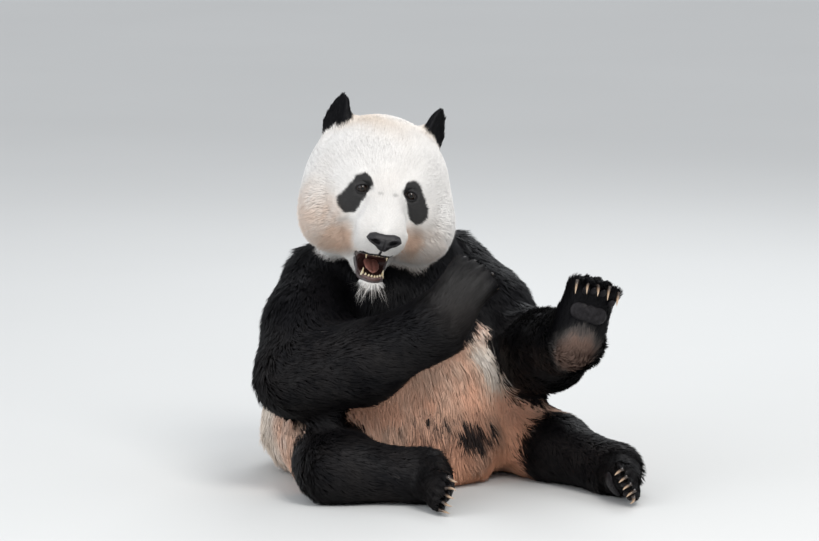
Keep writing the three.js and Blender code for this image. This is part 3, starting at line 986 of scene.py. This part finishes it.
def shape_lids(places, gap):
    """Draws the skin round each eyeball into two lids. Returns what is bare lid."""
    bare = np.zeros(len(places))
    tilt = math.radians(12)
    clear, thick, around = 0.0008, 0.0014, 0.028  # off the ball, of the lid, and how far it reaches
    for side, sign in zip(SIDES, (-1, 1)):
        centre, radius = eyeball(side)
        centre = HEAD.inward(centre)
        local = HEAD.inward(places) - centre
        # u runs outwards and down along the slit of the eye, v up.
        u = sign * local[:, 0] * math.cos(tilt) - local[:, 2] * math.sin(tilt)
        v = sign * local[:, 0] * math.sin(tilt) + local[:, 2] * math.cos(tilt)
        apart = np.hypot(u, v)
        at_eye = (apart < around) & (local[:, 1] < 0.004)
        edge = lid_edge(u, v, gap)
        # Corners close to the edge are drawn onto it, so that it is a clean curve.
        onto = np.where(np.abs(edge) < 0.10, 1 / (1 + edge), 1)
        local[:, [0, 2]] *= onto[:, None]
        apart, edge = apart * onto, np.where(onto == 1, edge, 0)
        lid = radius + clear + thick * ease(0.0, 0.35, edge)
        front = -np.sqrt(np.maximum(lid**2 - apart**2, (0.35 * lid) ** 2))
        front = np.where(edge >= 0, front, front * 0.55)
        local[:, 1] = mix(front, local[:, 1], ease(0.30, 1.05, edge))
        places[at_eye] = HEAD.outward(centre + local)[at_eye]
        bare = np.where(at_eye, np.maximum(bare, ease(0.32, 0.20, edge)), bare)
    return bare


def part_digits(places, normals, part):
    """Sinks a groove between each two digits of a paw."""
    width, depth = 0.0042, 0.0065
    for paw, frame_of in PAWS.items():
        p = frame_of.inward(places)
        claws = np.array([frame_of.inward(claw) for claw in claws_of(paw)])
        reach = ease(0.048, 0.020, p[:, 1] - claws[:, 1].mean())
        for gap in (claws[:-1, 0] + claws[1:, 0]) / 2:
            groove = np.exp(-(((p[:, 0] - gap) / width) ** 2)) * reach * within(part, paw)
            places -= normals * (depth * groove)[:, None]


def sink_skin(mesh, nature, lid_gap):
    """Lays the skin below the solids by the depth of the coat, with its digits and lids."""
    places = places_of(mesh)
    groom_head(nature, places)
    edges = edges_of(mesh)
    normals = unit(spread(normals_of(mesh), edges, len(places), rounds=2))
    nature["lie"] = combed(nature["lie"], normals, edges, rounds=14)
    places -= normals * nature["depth"][:, None] * MM
    places[:, 2] = np.maximum(places[:, 2], LOWEST_SKIN)
    relaxed = spread(places, edges, len(places), rounds=2)
    # The ears are too thin to be sunk without being evened out as well.
    ears = within(nature["part"], "ear_right", "ear_left")
    places = mix(places, relaxed, np.maximum(ease(3.0, 8.0, nature["depth"]), ears)[:, None])
    part_digits(places, normals, nature["part"])
    nature["bare"] = shape_lids(places, lid_gap)
    set_places(mesh, places)
    return places


def make_skin(coat, face):
    """One skin over all the flesh, a little inside it, marked as the coat on it is."""
    o = merged_copy("skin", FLESH)
    apply(o, "DISPLACE", strength=0.0015, mid_level=0.0)
    remesh(o, SKIN_CELL, rounds=3)
    refine_skin(o)
    mesh = o.data
    nature = nature_of(mesh)
    places = sink_skin(mesh, nature, face.lid_gap)

    h = HEAD.inward(places)
    hollow = MOUTH.reach(h)
    on_face = ease(0.3, 0.6, nature["head"])
    nature["mouth"] = ease(1.06, 0.94, hollow) * on_face
    rim = np.maximum(ease(1.20, 1.06, hollow), ease(0.0012, 0.0, lip_line(h)))
    nature["bare"] = np.maximum(nature["bare"], rim * on_face * (1 - nature["mouth"]))
    own = {name: nature[name] for name in ("mouth", "bare")}
    for name, values in {**markings(places, nature), **own}.items():
        mark(mesh, name, values)
    edit(o, bpy.ops.uv.smart_project, angle_limit=math.radians(66), island_margin=0.002)
    mesh.uv_layers[0].name = "OFBake"
    finish(o, *FLESH, material=skin_material(coat, face), slot="white_fur")
    return o, nature


# ---- Coat ------------------------------------------------------------------------------------
class TuftKind:
    """How a tuft is put together. Its first two faces are those on its underside."""

    patch_size = 0.003  # of the whole UV map

    def __init__(self, faces, rise, patch):
        self.faces = np.array(faces)
        self.rise = rise  # how far from root to tip each corner is
        self.patch = np.array(patch) * self.patch_size
        self.corners = len(rise)


# A bent tuft has its root, a ring of three where it is widest, and its tip. A straight one has a ring of
# three at its root, and its tip.
BENT = TuftKind(
    [(0, 2, 1), (1, 2, 4), (0, 3, 2), (0, 1, 3), (2, 3, 4), (3, 1, 4)],
    (0.0, 0.45, 0.45, 0.5, 1.0),
    [(0.0, -0.5), (-0.5, -0.1), (0.5, -0.1), (0.0, 0.1), (0.0, 0.5)],
)
STRAIGHT = TuftKind(
    [(0, 2, 1), (0, 1, 3), (1, 2, 3), (0, 3, 2)],
    (0.2, 0.2, 0.3, 1.0),
    [(-0.5, -0.5), (0.5, -0.5), (0.0, 0.0), (0.0, 0.5)],
)
MOST_FACES = 198000  # in one piece
SHORT_HAIRED = ("coat_face", "coat_ears", "coat_paws")
CHIN_LEVEL = -0.038  # top of the chin, in the frame of the jaw


def sample_skin(o, nature, share, seed):
    """Roots for the tufts: evenly spread over the skin by its density, with all the skin's fields there."""
    mesh = o.data
    mesh.calc_loop_triangles()
    corners = numbers(mesh.loop_triangles, "vertices", kind=np.int32)
    loops = numbers(mesh.loop_triangles, "loops", kind=np.int32)
    uv = numbers(mesh.uv_layers["OFBake"].data, "uv", 2)
    places = places_of(mesh)
    normals = unit(spread(normals_of(mesh), edges_of(mesh), len(places), rounds=2))

    a, b, c = (places[corners[:, k]] for k in range(3))
    area = np.linalg.norm(np.cross(b - a, c - a), axis=1) / 2
    hairy = np.maximum(nature["bare"], nature["mouth"]) < 0.5
    density = nature["density"] * 1e4 * share * hairy  # to the square metre
    expected = area * density[corners].mean(1)
    rng = np.random.default_rng(seed)
    number = np.floor(expected + rng.random(len(corners))).astype(int)
    face = np.repeat(np.arange(len(corners)), number)
    r1, r2 = np.sqrt(rng.random(len(face))), rng.random(len(face))
    weights = np.stack([1 - r1, r1 * (1 - r2), r1 * r2], 1)
    own = corners[face]

    def at(values):
        values = np.asarray(values, float)
        if values.ndim == 1:
            return (values[own] * weights).sum(1)
        return (values[own] * weights[:, :, None]).sum(1)

    roots = {"place": at(places), "normal": unit(at(normals)), "lie": at(nature["lie"])}
    roots["uv"] = (uv[loops[face]] * weights[:, :, None]).sum(1)
    for field in (*GROWTH_FIELDS, "black", "head"):
        roots[field] = at(nature[field])
    roots["part"] = nature["part"][own[np.arange(len(own)), weights.argmax(1)]]
    roots["random"] = rng.random((len(face), 4))
    return roots


def gather(roots, tips, seed, share):
    """Draws the tips of neighbouring tufts together into locks, each round a tuft that leads."""
    rng = np.random.default_rng(seed)
    leading = 1 / 9  # of all tufts
    leaders = np.nonzero(rng.random(len(tips)) < leading)[0]
    tree = KDTree(len(leaders))
    for k, leader in enumerate(leaders):
        tree.insert(roots["place"][leader], k)
    tree.balance()
    nearest = leaders[[tree.find(p)[1] for p in roots["place"]]]
    apart = np.linalg.norm(roots["place"] - roots["place"][nearest], axis=1)
    pull = share * ease(0.02, 0.004, apart)
    return mix(tips, tips[nearest], pull[:, None])


def tuft_shapes(roots, kind, seed):
    """The corners of every tuft, and the soft normals of its upper side and of its underside."""
    normal, place, random = roots["normal"], roots["place"], roots["random"]
    length = roots["length"] * MM * mix(0.75, 1.25, random[:, 0])
    sway = np.stack([drift(place, 0.03, 20 + k) for k in range(3)], 1) * 0.28
    sway += (random[:, 1:4] - 0.5) * 0.35
    lie = unit(roots["lie"]) + sway
    lie = unit(lie - normal * (lie * normal).sum(1)[:, None])
    across = np.cross(normal, lie)
    rise = np.clip(roots["depth"] * MM / length * mix(0.62, 1.0, random[:, 1]), 0.08, 0.9)
    half = (roots["width"] * MM / 2 * mix(0.75, 1.25, random[:, 2]))[:, None]

    def heading(share):
        steep = np.clip(rise * share, 0, 0.95)[:, None]
        return lie * np.sqrt(1 - steep**2) + normal * steep

    if kind is BENT:
        # Pale tufts curl over more, so that their shaded undersides don't show at the outline.
        curl = 1 - roots["black"]
        first, second = heading(mix(1.35, 1.8, curl)), heading(mix(0.66, 0.24, curl))
        ring = place + first * (0.40 * length)[:, None]
        rest = 0.60 * length
    else:
        first = second = heading(0.9)
        ring = place - first * 0.0014
        rest = length
    over, crown = np.cross(first, across), np.cross(second, across)
    left = ring - across * half - over * half * 0.25
    right = ring + across * half - over * half * 0.25
    locks = mix(0.38, 0.15 + 0.25 * ease(20, 32, roots["length"]), roots["head"])
    tip = gather(roots, ring + second * rest[:, None], seed, locks * (roots["width"] > 0.8))
    corners = [left, right, ring + over * half * 0.5, tip]
    upper = [-across * 0.8 + over * 0.6, across * 0.8 + over * 0.6, crown, crown]
    if kind is BENT:
        corners = [place - normal * 0.0015, *corners]
        upper = [normal, *upper]
    soft = unit(mix(np.stack(upper, 1), normal[:, None, :], 0.62))
    return np.stack(corners, 1), soft, unit(normal * 0.2 - crown * 0.8 + second * 0.4)


def tuft_mesh(name, shape, kind, patch):
    """A mesh of many tufts of one kind, from the corners of each and their places in the UV map."""
    count = len(shape)
    faces = (np.arange(count)[:, None, None] * kind.corners + kind.faces[None]).astype(np.int32)
    number = count * len(kind.faces)
    mesh = bpy.data.meshes.new(name)
    mesh.vertices.add(count * kind.corners)
    mesh.vertices.foreach_set("co", shape.astype(np.float32).ravel())
    mesh.loops.add(number * 3)
    mesh.loops.foreach_set("vertex_index", faces.ravel())
    mesh.polygons.add(number)
    mesh.polygons.foreach_set("loop_start", np.arange(0, number * 3, 3, dtype=np.int32))
    mesh.update(calc_edges=True)
    layer = mesh.uv_layers.new(name="OFBake")
    layer.data.foreach_set("uv", patch.reshape(-1, 2)[faces.ravel()].astype(np.float32).ravel())
    return mesh


def grow_piece(name, roots, kind, fields, material, seed):
    """One piece of coat: all its tufts in one mesh."""
    shape, soft, under = tuft_shapes(roots, kind, seed)
    shape[..., 2] = np.maximum(shape[..., 2], LOWEST_HAIR)
    mesh = tuft_mesh(name, shape, kind, roots["uv"][:, None, :] + kind.patch[None])
    for field, values in {**fields, "strand": roots["random"][:, 3]}.items():
        mark(mesh, field, np.repeat(values, kind.corners))
    mark(mesh, "tip", np.tile(kind.rise, len(shape)))
    slot = "black_fur" if fields["dark"].mean() > 0.5 else "white_fur"
    finish(new_object(name, mesh), material=material, slot=slot)
    shading = soft[:, kind.faces.ravel()]
    shading[:, :6] = under[:, None]  # the two faces on its underside
    normals = mesh.attributes.new("custom_normal", "FLOAT_VECTOR", "CORNER")
    normals.data.foreach_set("vector", shading.astype(np.float32).ravel())
    mesh.update()


def coat_groups(roots):
    """The name of each piece of coat with the tufts that are in it."""
    h = HEAD.inward(roots["place"])
    part = roots["part"]
    loose = roots["random"][:, 3]
    head = within(part, "head", "jaw")
    face = head & (h[:, 1] + 0.03 * loose < -0.01) & (roots["length"] + 3 * loose < 18)
    belly = within(part, "abdomen") & (TRUNK.inward(roots["place"])[:, 1] < 0.02)
    groups = {
        "coat_face": face,
        "coat_head_right": head & ~face & (h[:, 0] < 0),
        "coat_head_left": head & ~face & (h[:, 0] >= 0),
        "coat_ears": within(part, "ear_right", "ear_left"),
        "coat_neck": within(part, "neck"),
        "coat_chest": within(part, "chest"),
        "coat_belly": belly,
        "coat_back": within(part, "abdomen", "tail") & ~belly,
    }
    for side in SIDES:
        groups[f"coat_arm_{side}"] = within(part, f"upper_arm_{side}", f"forearm_{side}")
        groups[f"coat_leg_{side}"] = within(part, f"thigh_{side}", f"shin_{side}")
    groups["coat_paws"] = within(part, *PAWS)
    return {name: np.nonzero(inside)[0] for name, inside in groups.items()}


def whisker_roots(roots):
    """Roots of the whiskers beside the nose and the bristles round the chin, picked from the coat's."""
    h = HEAD.inward(roots["place"])
    j = JAW.inward(roots["place"])
    pick = roots["random"][:, 3]
    pad = WHISKER_PAD.reach(folded(h)) < 1
    chin = (CHIN.reach(j) < 1.1) & (j[:, 2] < CHIN_LEVEL)
    corner = MOUTH_CORNER.reach(h) < 1
    chosen = (pad & (pick < 0.03)) | (chin & (pick < 0.30)) | (corner & (pick < 0.08))
    chosen = np.nonzero(chosen)[0]
    own = {key: values[chosen].copy() for key, values in roots.items()}
    h, chin = h[chosen], chin[chosen]
    fan = np.stack([(28 + 20 * chin) * h[:, 0], 0 * chosen - 0.1, 0 * chosen - 0.85], 1)
    own["lie"] = HEAD.way(unit(fan))
    own["length"] = mix(24, 40, own["random"][:, 0]) + 14 * chin
    own["depth"] = own["length"] * 0.40
    own["width"] = 0.70 + 0.25 * chin
    return own


def make_coat(skin, nature, coat):
    """The whole coat, in pieces by part of the body."""
    roots = sample_skin(skin, nature, coat.density, coat.seed)
    fields = markings(roots["place"], roots)
    material = coat_material(coat)
    for name, tufts in coat_groups(roots).items():
        kind = STRAIGHT if name in SHORT_HAIRED else BENT
        pieces = math.ceil(len(tufts) * len(kind.faces) / MOST_FACES)
        for k, some in enumerate(np.array_split(tufts, pieces)):
            label = name if pieces == 1 else f"{name}_{k + 1}"
            own = {key: values[some] for key, values in roots.items()}
            shown = {field: values[some] for field, values in fields.items()}
            grow_piece(label, own, kind, shown, material, coat.seed)
    whiskers = whisker_roots(roots)
    # Those of the chin are grey.
    chin = JAW.inward(whiskers["place"])[:, 2] < CHIN_LEVEL
    grey = {field: 0.22 * chin if field in ("worn", "dark") else 0.0 * chin for field in fields}
    grow_piece("coat_whiskers", whiskers, STRAIGHT, grey, material, coat.seed)


# ---- Eyes, nose and mouth --------------------------------------------------------------------
def make_eyes(face):
    """Two eyeballs with a slightly fuller cornea, looking ahead."""
    material = eye_material(face)
    fuller, cornea = 0.055, 0.75  # share of the radius, and the angle from its middle to its rim
    for side in SIDES:
        centre, radius = eyeball(side)
        o = primitive(bpy.ops.mesh.primitive_uv_sphere_add, segments=40, ring_count=24, radius=radius)
        o.name = f"eyeball_{side}"
        places = places_of(o.data)
        way = unit(places)
        turn = np.arccos(np.clip(way[:, 2], -1, 1))
        around = np.arctan2(way[:, 1], way[:, 0])
        places = places * (1 + fuller * ease(cornea, 0.0, turn))[:, None]
        # The ball's pole is turned to look ahead.
        gaze = Local(centre, HEAD.way((1, 0, 0)), HEAD.way((0, -0.05, 1.0)))
        set_places(o.data, gaze.outward(places))
        mark(o.data, "turn", turn)
        mark(o.data, "around", around)
        finish(o, f"eye_{side}", material=material, slot="eye")


def make_nose(face):
    """The nose pad: the solid made smooth, with comma-shaped nostrils and the groove to the lip."""
    o = merged_copy("nose_pad", ["nose"])
    remesh(o, 0.0012, rounds=6)
    mesh = o.data
    places, normals = places_of(mesh), normals_of(mesh)
    h = HEAD.inward(places)
    side, height = np.abs(h[:, 0]), h[:, 2]
    front = ease(0.0, 0.4, -(normals @ HEAD.way((0, 1, 0))))
    # Each nostril opens forwards and runs out to a slit at the side.
    out, drop = 0.0150, 0.0735
    level = height + drop - (side - out) * 0.30
    hole = np.hypot((side - out) / 0.0082, level / 0.0050)
    tail = np.hypot((side - 0.0250) / 0.0095, (level + 0.0010) / 0.0020)
    deep = 0.0105 * ease(1.0, 0.35, hole) * front + 0.0040 * ease(1.0, 0.3, tail)
    rim = 0.0010 * ease(0.6, 0.0, np.abs(hole - 1.4))
    slit = 0.0024 * ease(0.0018, 0.0, side) * ease(-0.064, -0.076, height)
    wing = HEAD.way((1, 0, 0)) * (0.07 * h[:, 0] * ease(-0.095, -0.080, height))[:, None]
    moved = places + HEAD.way((0, 1, 0)) * (deep + slit)[:, None] + wing
    set_places(mesh, moved + normals * (rim * front)[:, None])
    finish(o, "nose", material=leather_material(face, "nose_leather", 0.34), slot="nose_leather")


def tube(name, points, radii, frame_of):
    """A tapered round tube along a smooth run of local points."""
    curve = bpy.data.curves.new(name, "CURVE")
    curve.dimensions = "3D"
    curve.bevel_depth = 1.0
    curve.bevel_resolution = 4
    curve.use_fill_caps = True
    spline = curve.splines.new("NURBS")
    spline.points.add(len(points) - 1)
    for point, place, radius in zip(spline.points, frame_of.outward(points), radii):
        point.co = (*place, 1)
        point.radius = radius
    spline.use_endpoint_u = True
    spline.order_u = 4
    spline.resolution_u = 6
    o = new_object(name, curve)
    select_only(o)
    bpy.ops.object.convert(target="MESH")
    o = bpy.context.active_object
    o.name = name
    return o


def jaw_rim(skin, part):
    """The rim of the lower jaw round the open mouth, from one corner to the other, in jaw coordinates."""
    places = places_of(skin.data)
    hollow = MOUTH.reach(HEAD.inward(places))
    on_rim = within(part, "jaw") & (hollow > 1.0) & (hollow < 1.5)
    j = JAW.inward(places[on_rim])
    ahead, widest, slice_half, crest = 0.095, 100, 9, 0.004  # metres, degrees, degrees, metres
    turn = np.degrees(np.arctan2(j[:, 0], -ahead - j[:, 1]))
    run = []
    for way in np.linspace(-widest, widest, 17):
        some = j[np.abs(turn - way) < slice_half]
        top = some[:, 2].max()
        run.append(some[some[:, 2] > top - crest].mean(0))
    run = np.array(run)
    # Both sides are made alike, and the run is smoothed.
    run[:, 0] = (run[:, 0] - run[::-1, 0]) / 2
    run[:, 1:] = (run[:, 1:] + run[::-1, 1:]) / 2
    for _ in range(3):
        run[1:-1] = (run[:-2] + 2 * run[1:-1] + run[2:]) / 4
    return run


def make_lip(skin, part, material):
    """The bare lower lip, thin at the corners of the mouth."""
    run = jaw_rim(skin, part)
    ways = np.linspace(-1, 1, len(run)) * math.pi / 2
    o = tube("lip_lower", run, 0.0010 + 0.0054 * np.maximum(np.cos(ways), 0) ** 0.7, JAW)
    finish(o, material=material, slot="tongue")


def make_tongue(material):
    """The tongue: the solid made smooth, with a groove along its middle."""
    o = merged_copy("tongue_piece", ["tongue"])
    remesh(o, 0.0015, rounds=8)
    local = JAW.inward(places_of(o.data))
    local[:, 2] -= 0.0018 * ease(0.004, 0.0, np.abs(local[:, 0]))
    set_places(o.data, JAW.outward(local))
    finish(o, "tongue", material=material, slot="tongue")


def make_mouth(skin, part, face):
    """Lower lip, tongue, teeth and gums of the open mouth."""
    make_lip(skin, part, flesh_material("lip", colour(face.lip), 0.6))
    make_tongue(flesh_material("tongue_flesh", colour(face.tongue), 0.65))
    gum = flesh_material("gum", colour(face.gum), 0.7)
    enamel = enamel_material(face)
    for name, frame_of, centre, width, way in (
        ("lower", JAW, (0, -0.1500, -0.0385), 0.0195, 1),
        ("upper", HEAD, (0, -0.1590, -0.1010), 0.0200, -1),
    ):
        make_teeth(name, frame_of, centre, width, way, enamel)
        make_gum(name, frame_of, centre, width, way, gum)


def make_teeth(name, frame_of, centre, width, way, material):
    """Six incisors between two canines, rounded cones in one piece. `way` is 1 where they stand up."""
    cones = []
    for along in np.arange(-3.5, 4) / 3.5:
        canine = abs(along) == 1
        radius, length, point = (0.0040, 0.016, 0.15) if canine else (0.0030, 0.0070, 0.5)
        sizes = {"radius1": radius, "radius2": radius * point, "depth": length}
        o = primitive(bpy.ops.mesh.primitive_cone_add, vertices=10, **sizes)
        apply(o, "BEVEL", width=radius * 0.12, segments=2)
        local = places_of(o.data) * (1, 0.8, way)
        local += np.array(centre) + (along * width, along**2 * 0.014, way * length / 3)
        if way < 0:
            o.data.flip_normals()
        set_places(o.data, frame_of.outward(local))
        cones.append(o)
    finish(join(f"teeth_{name}", cones), material=material, slot="claw_horn")


def make_gum(name, frame_of, centre, width, way, material):
    """The gum that a row of teeth stands in."""
    turn = np.linspace(-1.5, 1.5, 15)
    run = [np.sin(turn) * width * 1.08, turn**2 * 0.013, 0 * turn - way * 0.0022]
    o = tube(f"gum_{name}", np.stack(run, 1) + centre, 0.0016 + 0.0030 * np.cos(turn) ** 0.5, frame_of)
    finish(o, material=material, slot="tongue")


# ---- Claws and pads --------------------------------------------------------------------------
RINGS = 9  # along a claw
AROUND = 12  # corners in a ring


def claw_path(node, tree):
    """Points along a claw's bend, from inside the digit to its tip."""
    corners = np.unique(corners_of(node).round(6), axis=0)
    apart = np.array([tree.find_nearest(Vector(p))[3] for p in corners])
    touching = apart < 0.0012
    tip = corners[apart.argmax()]
    root = corners[touching].mean(0) if touching.any() else corners[apart.argmin()]
    rest = corners[~touching & (apart < apart.max() - 1e-6)]
    bend = rest.mean(0) if len(rest) > 1 else (root + tip) / 2
    start = root - unit(bend - root) * 0.006
    knee = 2 * bend - (start + tip) / 2
    t = np.linspace(0, 1, RINGS)[:, None]
    return (1 - t) ** 2 * start + 2 * t * (1 - t) * knee + t**2 * tip


def make_claws(face):
    """Every claw: a curved, narrowing horn along its solid, from inside the digit to its point."""
    material = horn_material(face)
    t = np.linspace(0, 1, RINGS)[:, None]
    widest, point = 0.0043, 0.0003
    radius = widest * (1 - t**1.4) ** 0.85 + point
    angle = np.linspace(0, math.tau, AROUND, endpoint=False)
    for paw in PAWS:
        tree, _ = tree_of([paw])
        for i in DIGITS:
            node = f"claw_{paw}_{i}"
            path = claw_path(node, tree)
            heading = unit(np.gradient(path, axis=0))
            across = PAWS[paw].way((1, 0, 0))
            across = unit(across - heading * (heading @ across)[:, None])
            over = np.cross(across, heading)
            ring = across[:, None] * (np.cos(angle) * 0.72)[None, :, None]
            ring = ring + over[:, None] * np.sin(angle)[None, :, None]
            shell = (path[:, None] + ring * radius[:, :, None]).reshape(-1, 3)
            o = new_object(f"horn_{paw}_{i}", shell_mesh(f"horn_{paw}_{i}", shell))
            edit(o, bpy.ops.mesh.normals_make_consistent, inside=False)
            finish(o, node, material=material, slot="claw_horn")


def shell_mesh(name, shell):
    """A closed mesh from a claw's rings of points."""
    faces = []
    for ring in range(0, (RINGS - 1) * AROUND, AROUND):
        for k in range(AROUND):
            after = (k + 1) % AROUND
            faces.append((ring + k, ring + after, ring + AROUND + after, ring + AROUND + k))
    faces.append(tuple(range(AROUND))[::-1])
    faces.append(tuple(range((RINGS - 1) * AROUND, RINGS * AROUND)))
    mesh = bpy.data.meshes.new(name)
    mesh.from_pydata([tuple(p) for p in shell], [], faces)
    mark(mesh, "along", np.repeat(np.linspace(0, 1, RINGS), AROUND))
    return mesh


def make_pads(face):
    """The leathery pads: one under each digit and a broad one across the sole or palm."""
    material = leather_material(face, "pad_leather", 0.12)
    for paw, frame_of in PAWS.items():
        tree, _ = tree_of([paw])
        limb, side = paw.split("_")
        claws = [frame_of.inward(claw) for claw in claws_of(paw)]
        across = claws[4][0] - claws[0][0]
        back = frame_of.inward(joint(paw, f"{ABOVE[limb]}_{side}"))[1]
        middle_line = mix(np.mean(claws, 0)[1], back, 0.42)
        toe, broad = (across * 0.085, 0.0095, 0.0045), (across * 0.24, 0.017, 0.0044)
        spots = [(claw + (0, 0.016, -0.012), toe) for claw in claws]
        spots += [((across * share, middle_line, -0.03), broad) for share in (-0.22, 0, 0.22)]
        pads = [one_pad(tree, frame_of, spot, radii) for spot, radii in spots]
        finish(join(f"pads_{paw}", pads), material=material, slot="nose_leather")


def one_pad(tree, frame_of, spot, radii):
    """One cushion of a pad, set into the palm side of a paw where it lies nearest to a local spot."""
    hit, normal, _, _ = tree.find_nearest(Vector(frame_of.outward(np.array(spot))))
    o = primitive(bpy.ops.mesh.primitive_uv_sphere_add, segments=20, ring_count=12, radius=1)
    places = unit(places_of(o.data)) * radii
    sunk = 0.85  # share of its height that is inside the paw
    own = Local(hit - normal * radii[2] * sunk, frame_of.way((1, 0, 0)), frame_of.way((0, 1, 0)))
    out = np.array(normal)
    side = unit(own.axes[:, 0] - out * (own.axes[:, 0] @ out))
    own.axes = np.stack([side, np.cross(out, side), out], 1)
    set_places(o.data, own.outward(places))
    return o


# ---- Stage -----------------------------------------------------------------------------------
def link(name, data, place, target):
    """A lamp or camera at a place, turned to a target."""
    o = bpy.data.objects.new(name, data)
    bpy.context.scene.collection.objects.link(o)
    o.location = place
    o.rotation_euler = (target - o.location).to_track_quat("-Z", "Y").to_euler()
    return o


def make_floor():
    """A wide pale floor."""
    floor = primitive(bpy.ops.mesh.primitive_circle_add, vertices=96, radius=40, fill_type="NGON")
    floor.name = "studio_floor"
    wires = Nodes("studio_floor")
    tone = wires.blend((0.62, 0.62, 0.61), (0.66, 0.66, 0.65), wires.noise(0.7))
    floor.data.materials.append(wires.surface(Base_Color=tone, Roughness=0.9, Specular_IOR_Level=0.2))
    floor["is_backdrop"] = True


def make_lights(stage):
    """Light from all round, and three soft lamps."""
    world = bpy.data.worlds.new("studio")
    bpy.context.scene.world = world
    world.use_nodes = True
    back = world.node_tree.nodes["Background"]
    back.inputs["Color"].default_value = (0.93, 0.96, 1.0, 1.0)
    back.inputs["Strength"].default_value = stage.sky

    low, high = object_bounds()
    centre = (low + high) / 2
    for name, offset, size, share, tint in (
        ("key", (1.3, -3.0, 3.4), 1.7, 1.0, (1.0, 0.98, 0.95)),
        ("fill", (-2.8, -2.4, 1.8), 2.6, 0.35, (0.92, 0.96, 1.0)),
        ("rim", (0.8, 3.0, 2.8), 2.0, 0.45, (0.95, 0.98, 1.0)),
    ):
        light = bpy.data.lights.new(name, "AREA")
        light.energy = stage.key * share
        light.size = size
        light.color = tint
        link(f"light_{name}", light, centre + Vector(offset), centre)


def make_camera(stage):
    """The camera, a little above the figure."""
    aim = Vector(SEAT) + Vector(stage.aim)
    camera = bpy.data.cameras.new("camera")
    camera.lens = stage.lens
    camera.sensor_width = 36
    camera.clip_end = 100
    away = Vector((0, -math.cos(stage.rise), math.sin(stage.rise)))
    bpy.context.scene.camera = link("camera", camera, aim + away * stage.distance, aim)
    bpy.context.scene.view_settings.view_transform = "Standard"


# ---- The add-on ------------------------------------------------------------------------------
MADE = {}  # what one operator leaves for the next


class PANDA_OT_skin(bpy.types.Operator):
    """Make the skin that stands for all the flesh"""

    bl_idname = "panda.skin"
    bl_label = "Skin"

    def execute(self, context):
        MADE["skin"], MADE["nature"] = make_skin(context.scene.panda_coat, context.scene.panda_face)
        return {"FINISHED"}


class PANDA_OT_coat(bpy.types.Operator):
    """Grow the coat on the skin"""

    bl_idname = "panda.coat"
    bl_label = "Coat"

    def execute(self, context):
        if "skin" not in MADE:
            raise RuntimeError("make the skin before the coat")
        make_coat(MADE["skin"], MADE["nature"], context.scene.panda_coat)
        return {"FINISHED"}


class PANDA_OT_eyes(bpy.types.Operator):
    """Make the eyes"""

    bl_idname = "panda.eyes"
    bl_label = "Eyes"

    def execute(self, context):
        make_eyes(context.scene.panda_face)
        return {"FINISHED"}


class PANDA_OT_nose(bpy.types.Operator):
    """Make the nose pad"""

    bl_idname = "panda.nose"
    bl_label = "Nose"

    def execute(self, context):
        make_nose(context.scene.panda_face)
        return {"FINISHED"}


class PANDA_OT_mouth(bpy.types.Operator):
    """Make the lip, gums, teeth and tongue"""

    bl_idname = "panda.mouth"
    bl_label = "Mouth"

    def execute(self, context):
        make_mouth(MADE["skin"], MADE["nature"]["part"], context.scene.panda_face)
        return {"FINISHED"}


class PANDA_OT_claws(bpy.types.Operator):
    """Make the twenty claws"""

    bl_idname = "panda.claws"
    bl_label = "Claws"

    def execute(self, context):
        make_claws(context.scene.panda_face)
        return {"FINISHED"}


class PANDA_OT_pads(bpy.types.Operator):
    """Make the pads of the four paws"""

    bl_idname = "panda.pads"
    bl_label = "Pads"

    def execute(self, context):
        make_pads(context.scene.panda_face)
        return {"FINISHED"}


class PANDA_OT_stage(bpy.types.Operator):
    """Set up the floor, lights and camera"""

    bl_idname = "panda.stage"
    bl_label = "Stage"

    def execute(self, context):
        make_floor()
        make_lights(context.scene.panda_stage)
        make_camera(context.scene.panda_stage)
        return {"FINISHED"}


OPERATORS = (
    PANDA_OT_skin, PANDA_OT_coat, PANDA_OT_eyes, PANDA_OT_nose, PANDA_OT_mouth, PANDA_OT_claws,
    PANDA_OT_pads, PANDA_OT_stage,
)


class PANDA_PT_panel(bpy.types.Panel):
    """Lists the operators and settings"""

    bl_idname = "PANDA_PT_panel"
    bl_label = "Panda"
    bl_space_type = "VIEW_3D"
    bl_region_type = "UI"
    bl_category = "Panda"

    def draw(self, context):
        for operator in OPERATORS:
            self.layout.operator(operator.bl_idname)
        for settings in (context.scene.panda_coat, context.scene.panda_face, context.scene.panda_stage):
            for key in settings.bl_rna.properties.keys():
                if key not in ("rna_type", "name"):
                    self.layout.prop(settings, key)


SETTINGS = {"panda_coat": CoatSettings, "panda_face": FaceSettings, "panda_stage": StageSettings}
CLASSES = (*SETTINGS.values(), *OPERATORS, PANDA_PT_panel)


def register():
    for group in CLASSES:
        bpy.utils.register_class(group)
    for name, group in SETTINGS.items():
        setattr(bpy.types.Scene, name, bpy.props.PointerProperty(type=group))


def unregister():
    for name in SETTINGS:
        delattr(bpy.types.Scene, name)
    for group in reversed(CLASSES):
        bpy.utils.unregister_class(group)


def main():
    """Makes the whole figure."""
    own = set(frame["nodes"].values()) | set(frame["bodies"].values())
    for leftover in [o for o in bpy.data.objects if o not in own]:
        bpy.data.objects.remove(leftover)
    bpy.context.view_layer.update()
    register()
    bpy.ops.panda.skin()
    bpy.ops.panda.coat()
    bpy.ops.panda.eyes()
    bpy.ops.panda.nose()
    bpy.ops.panda.mouth()
    bpy.ops.panda.claws()
    bpy.ops.panda.pads()
    bpy.ops.panda.stage()
    bpy.context.view_layer.update()


if __name__ == "__main__":
    main()
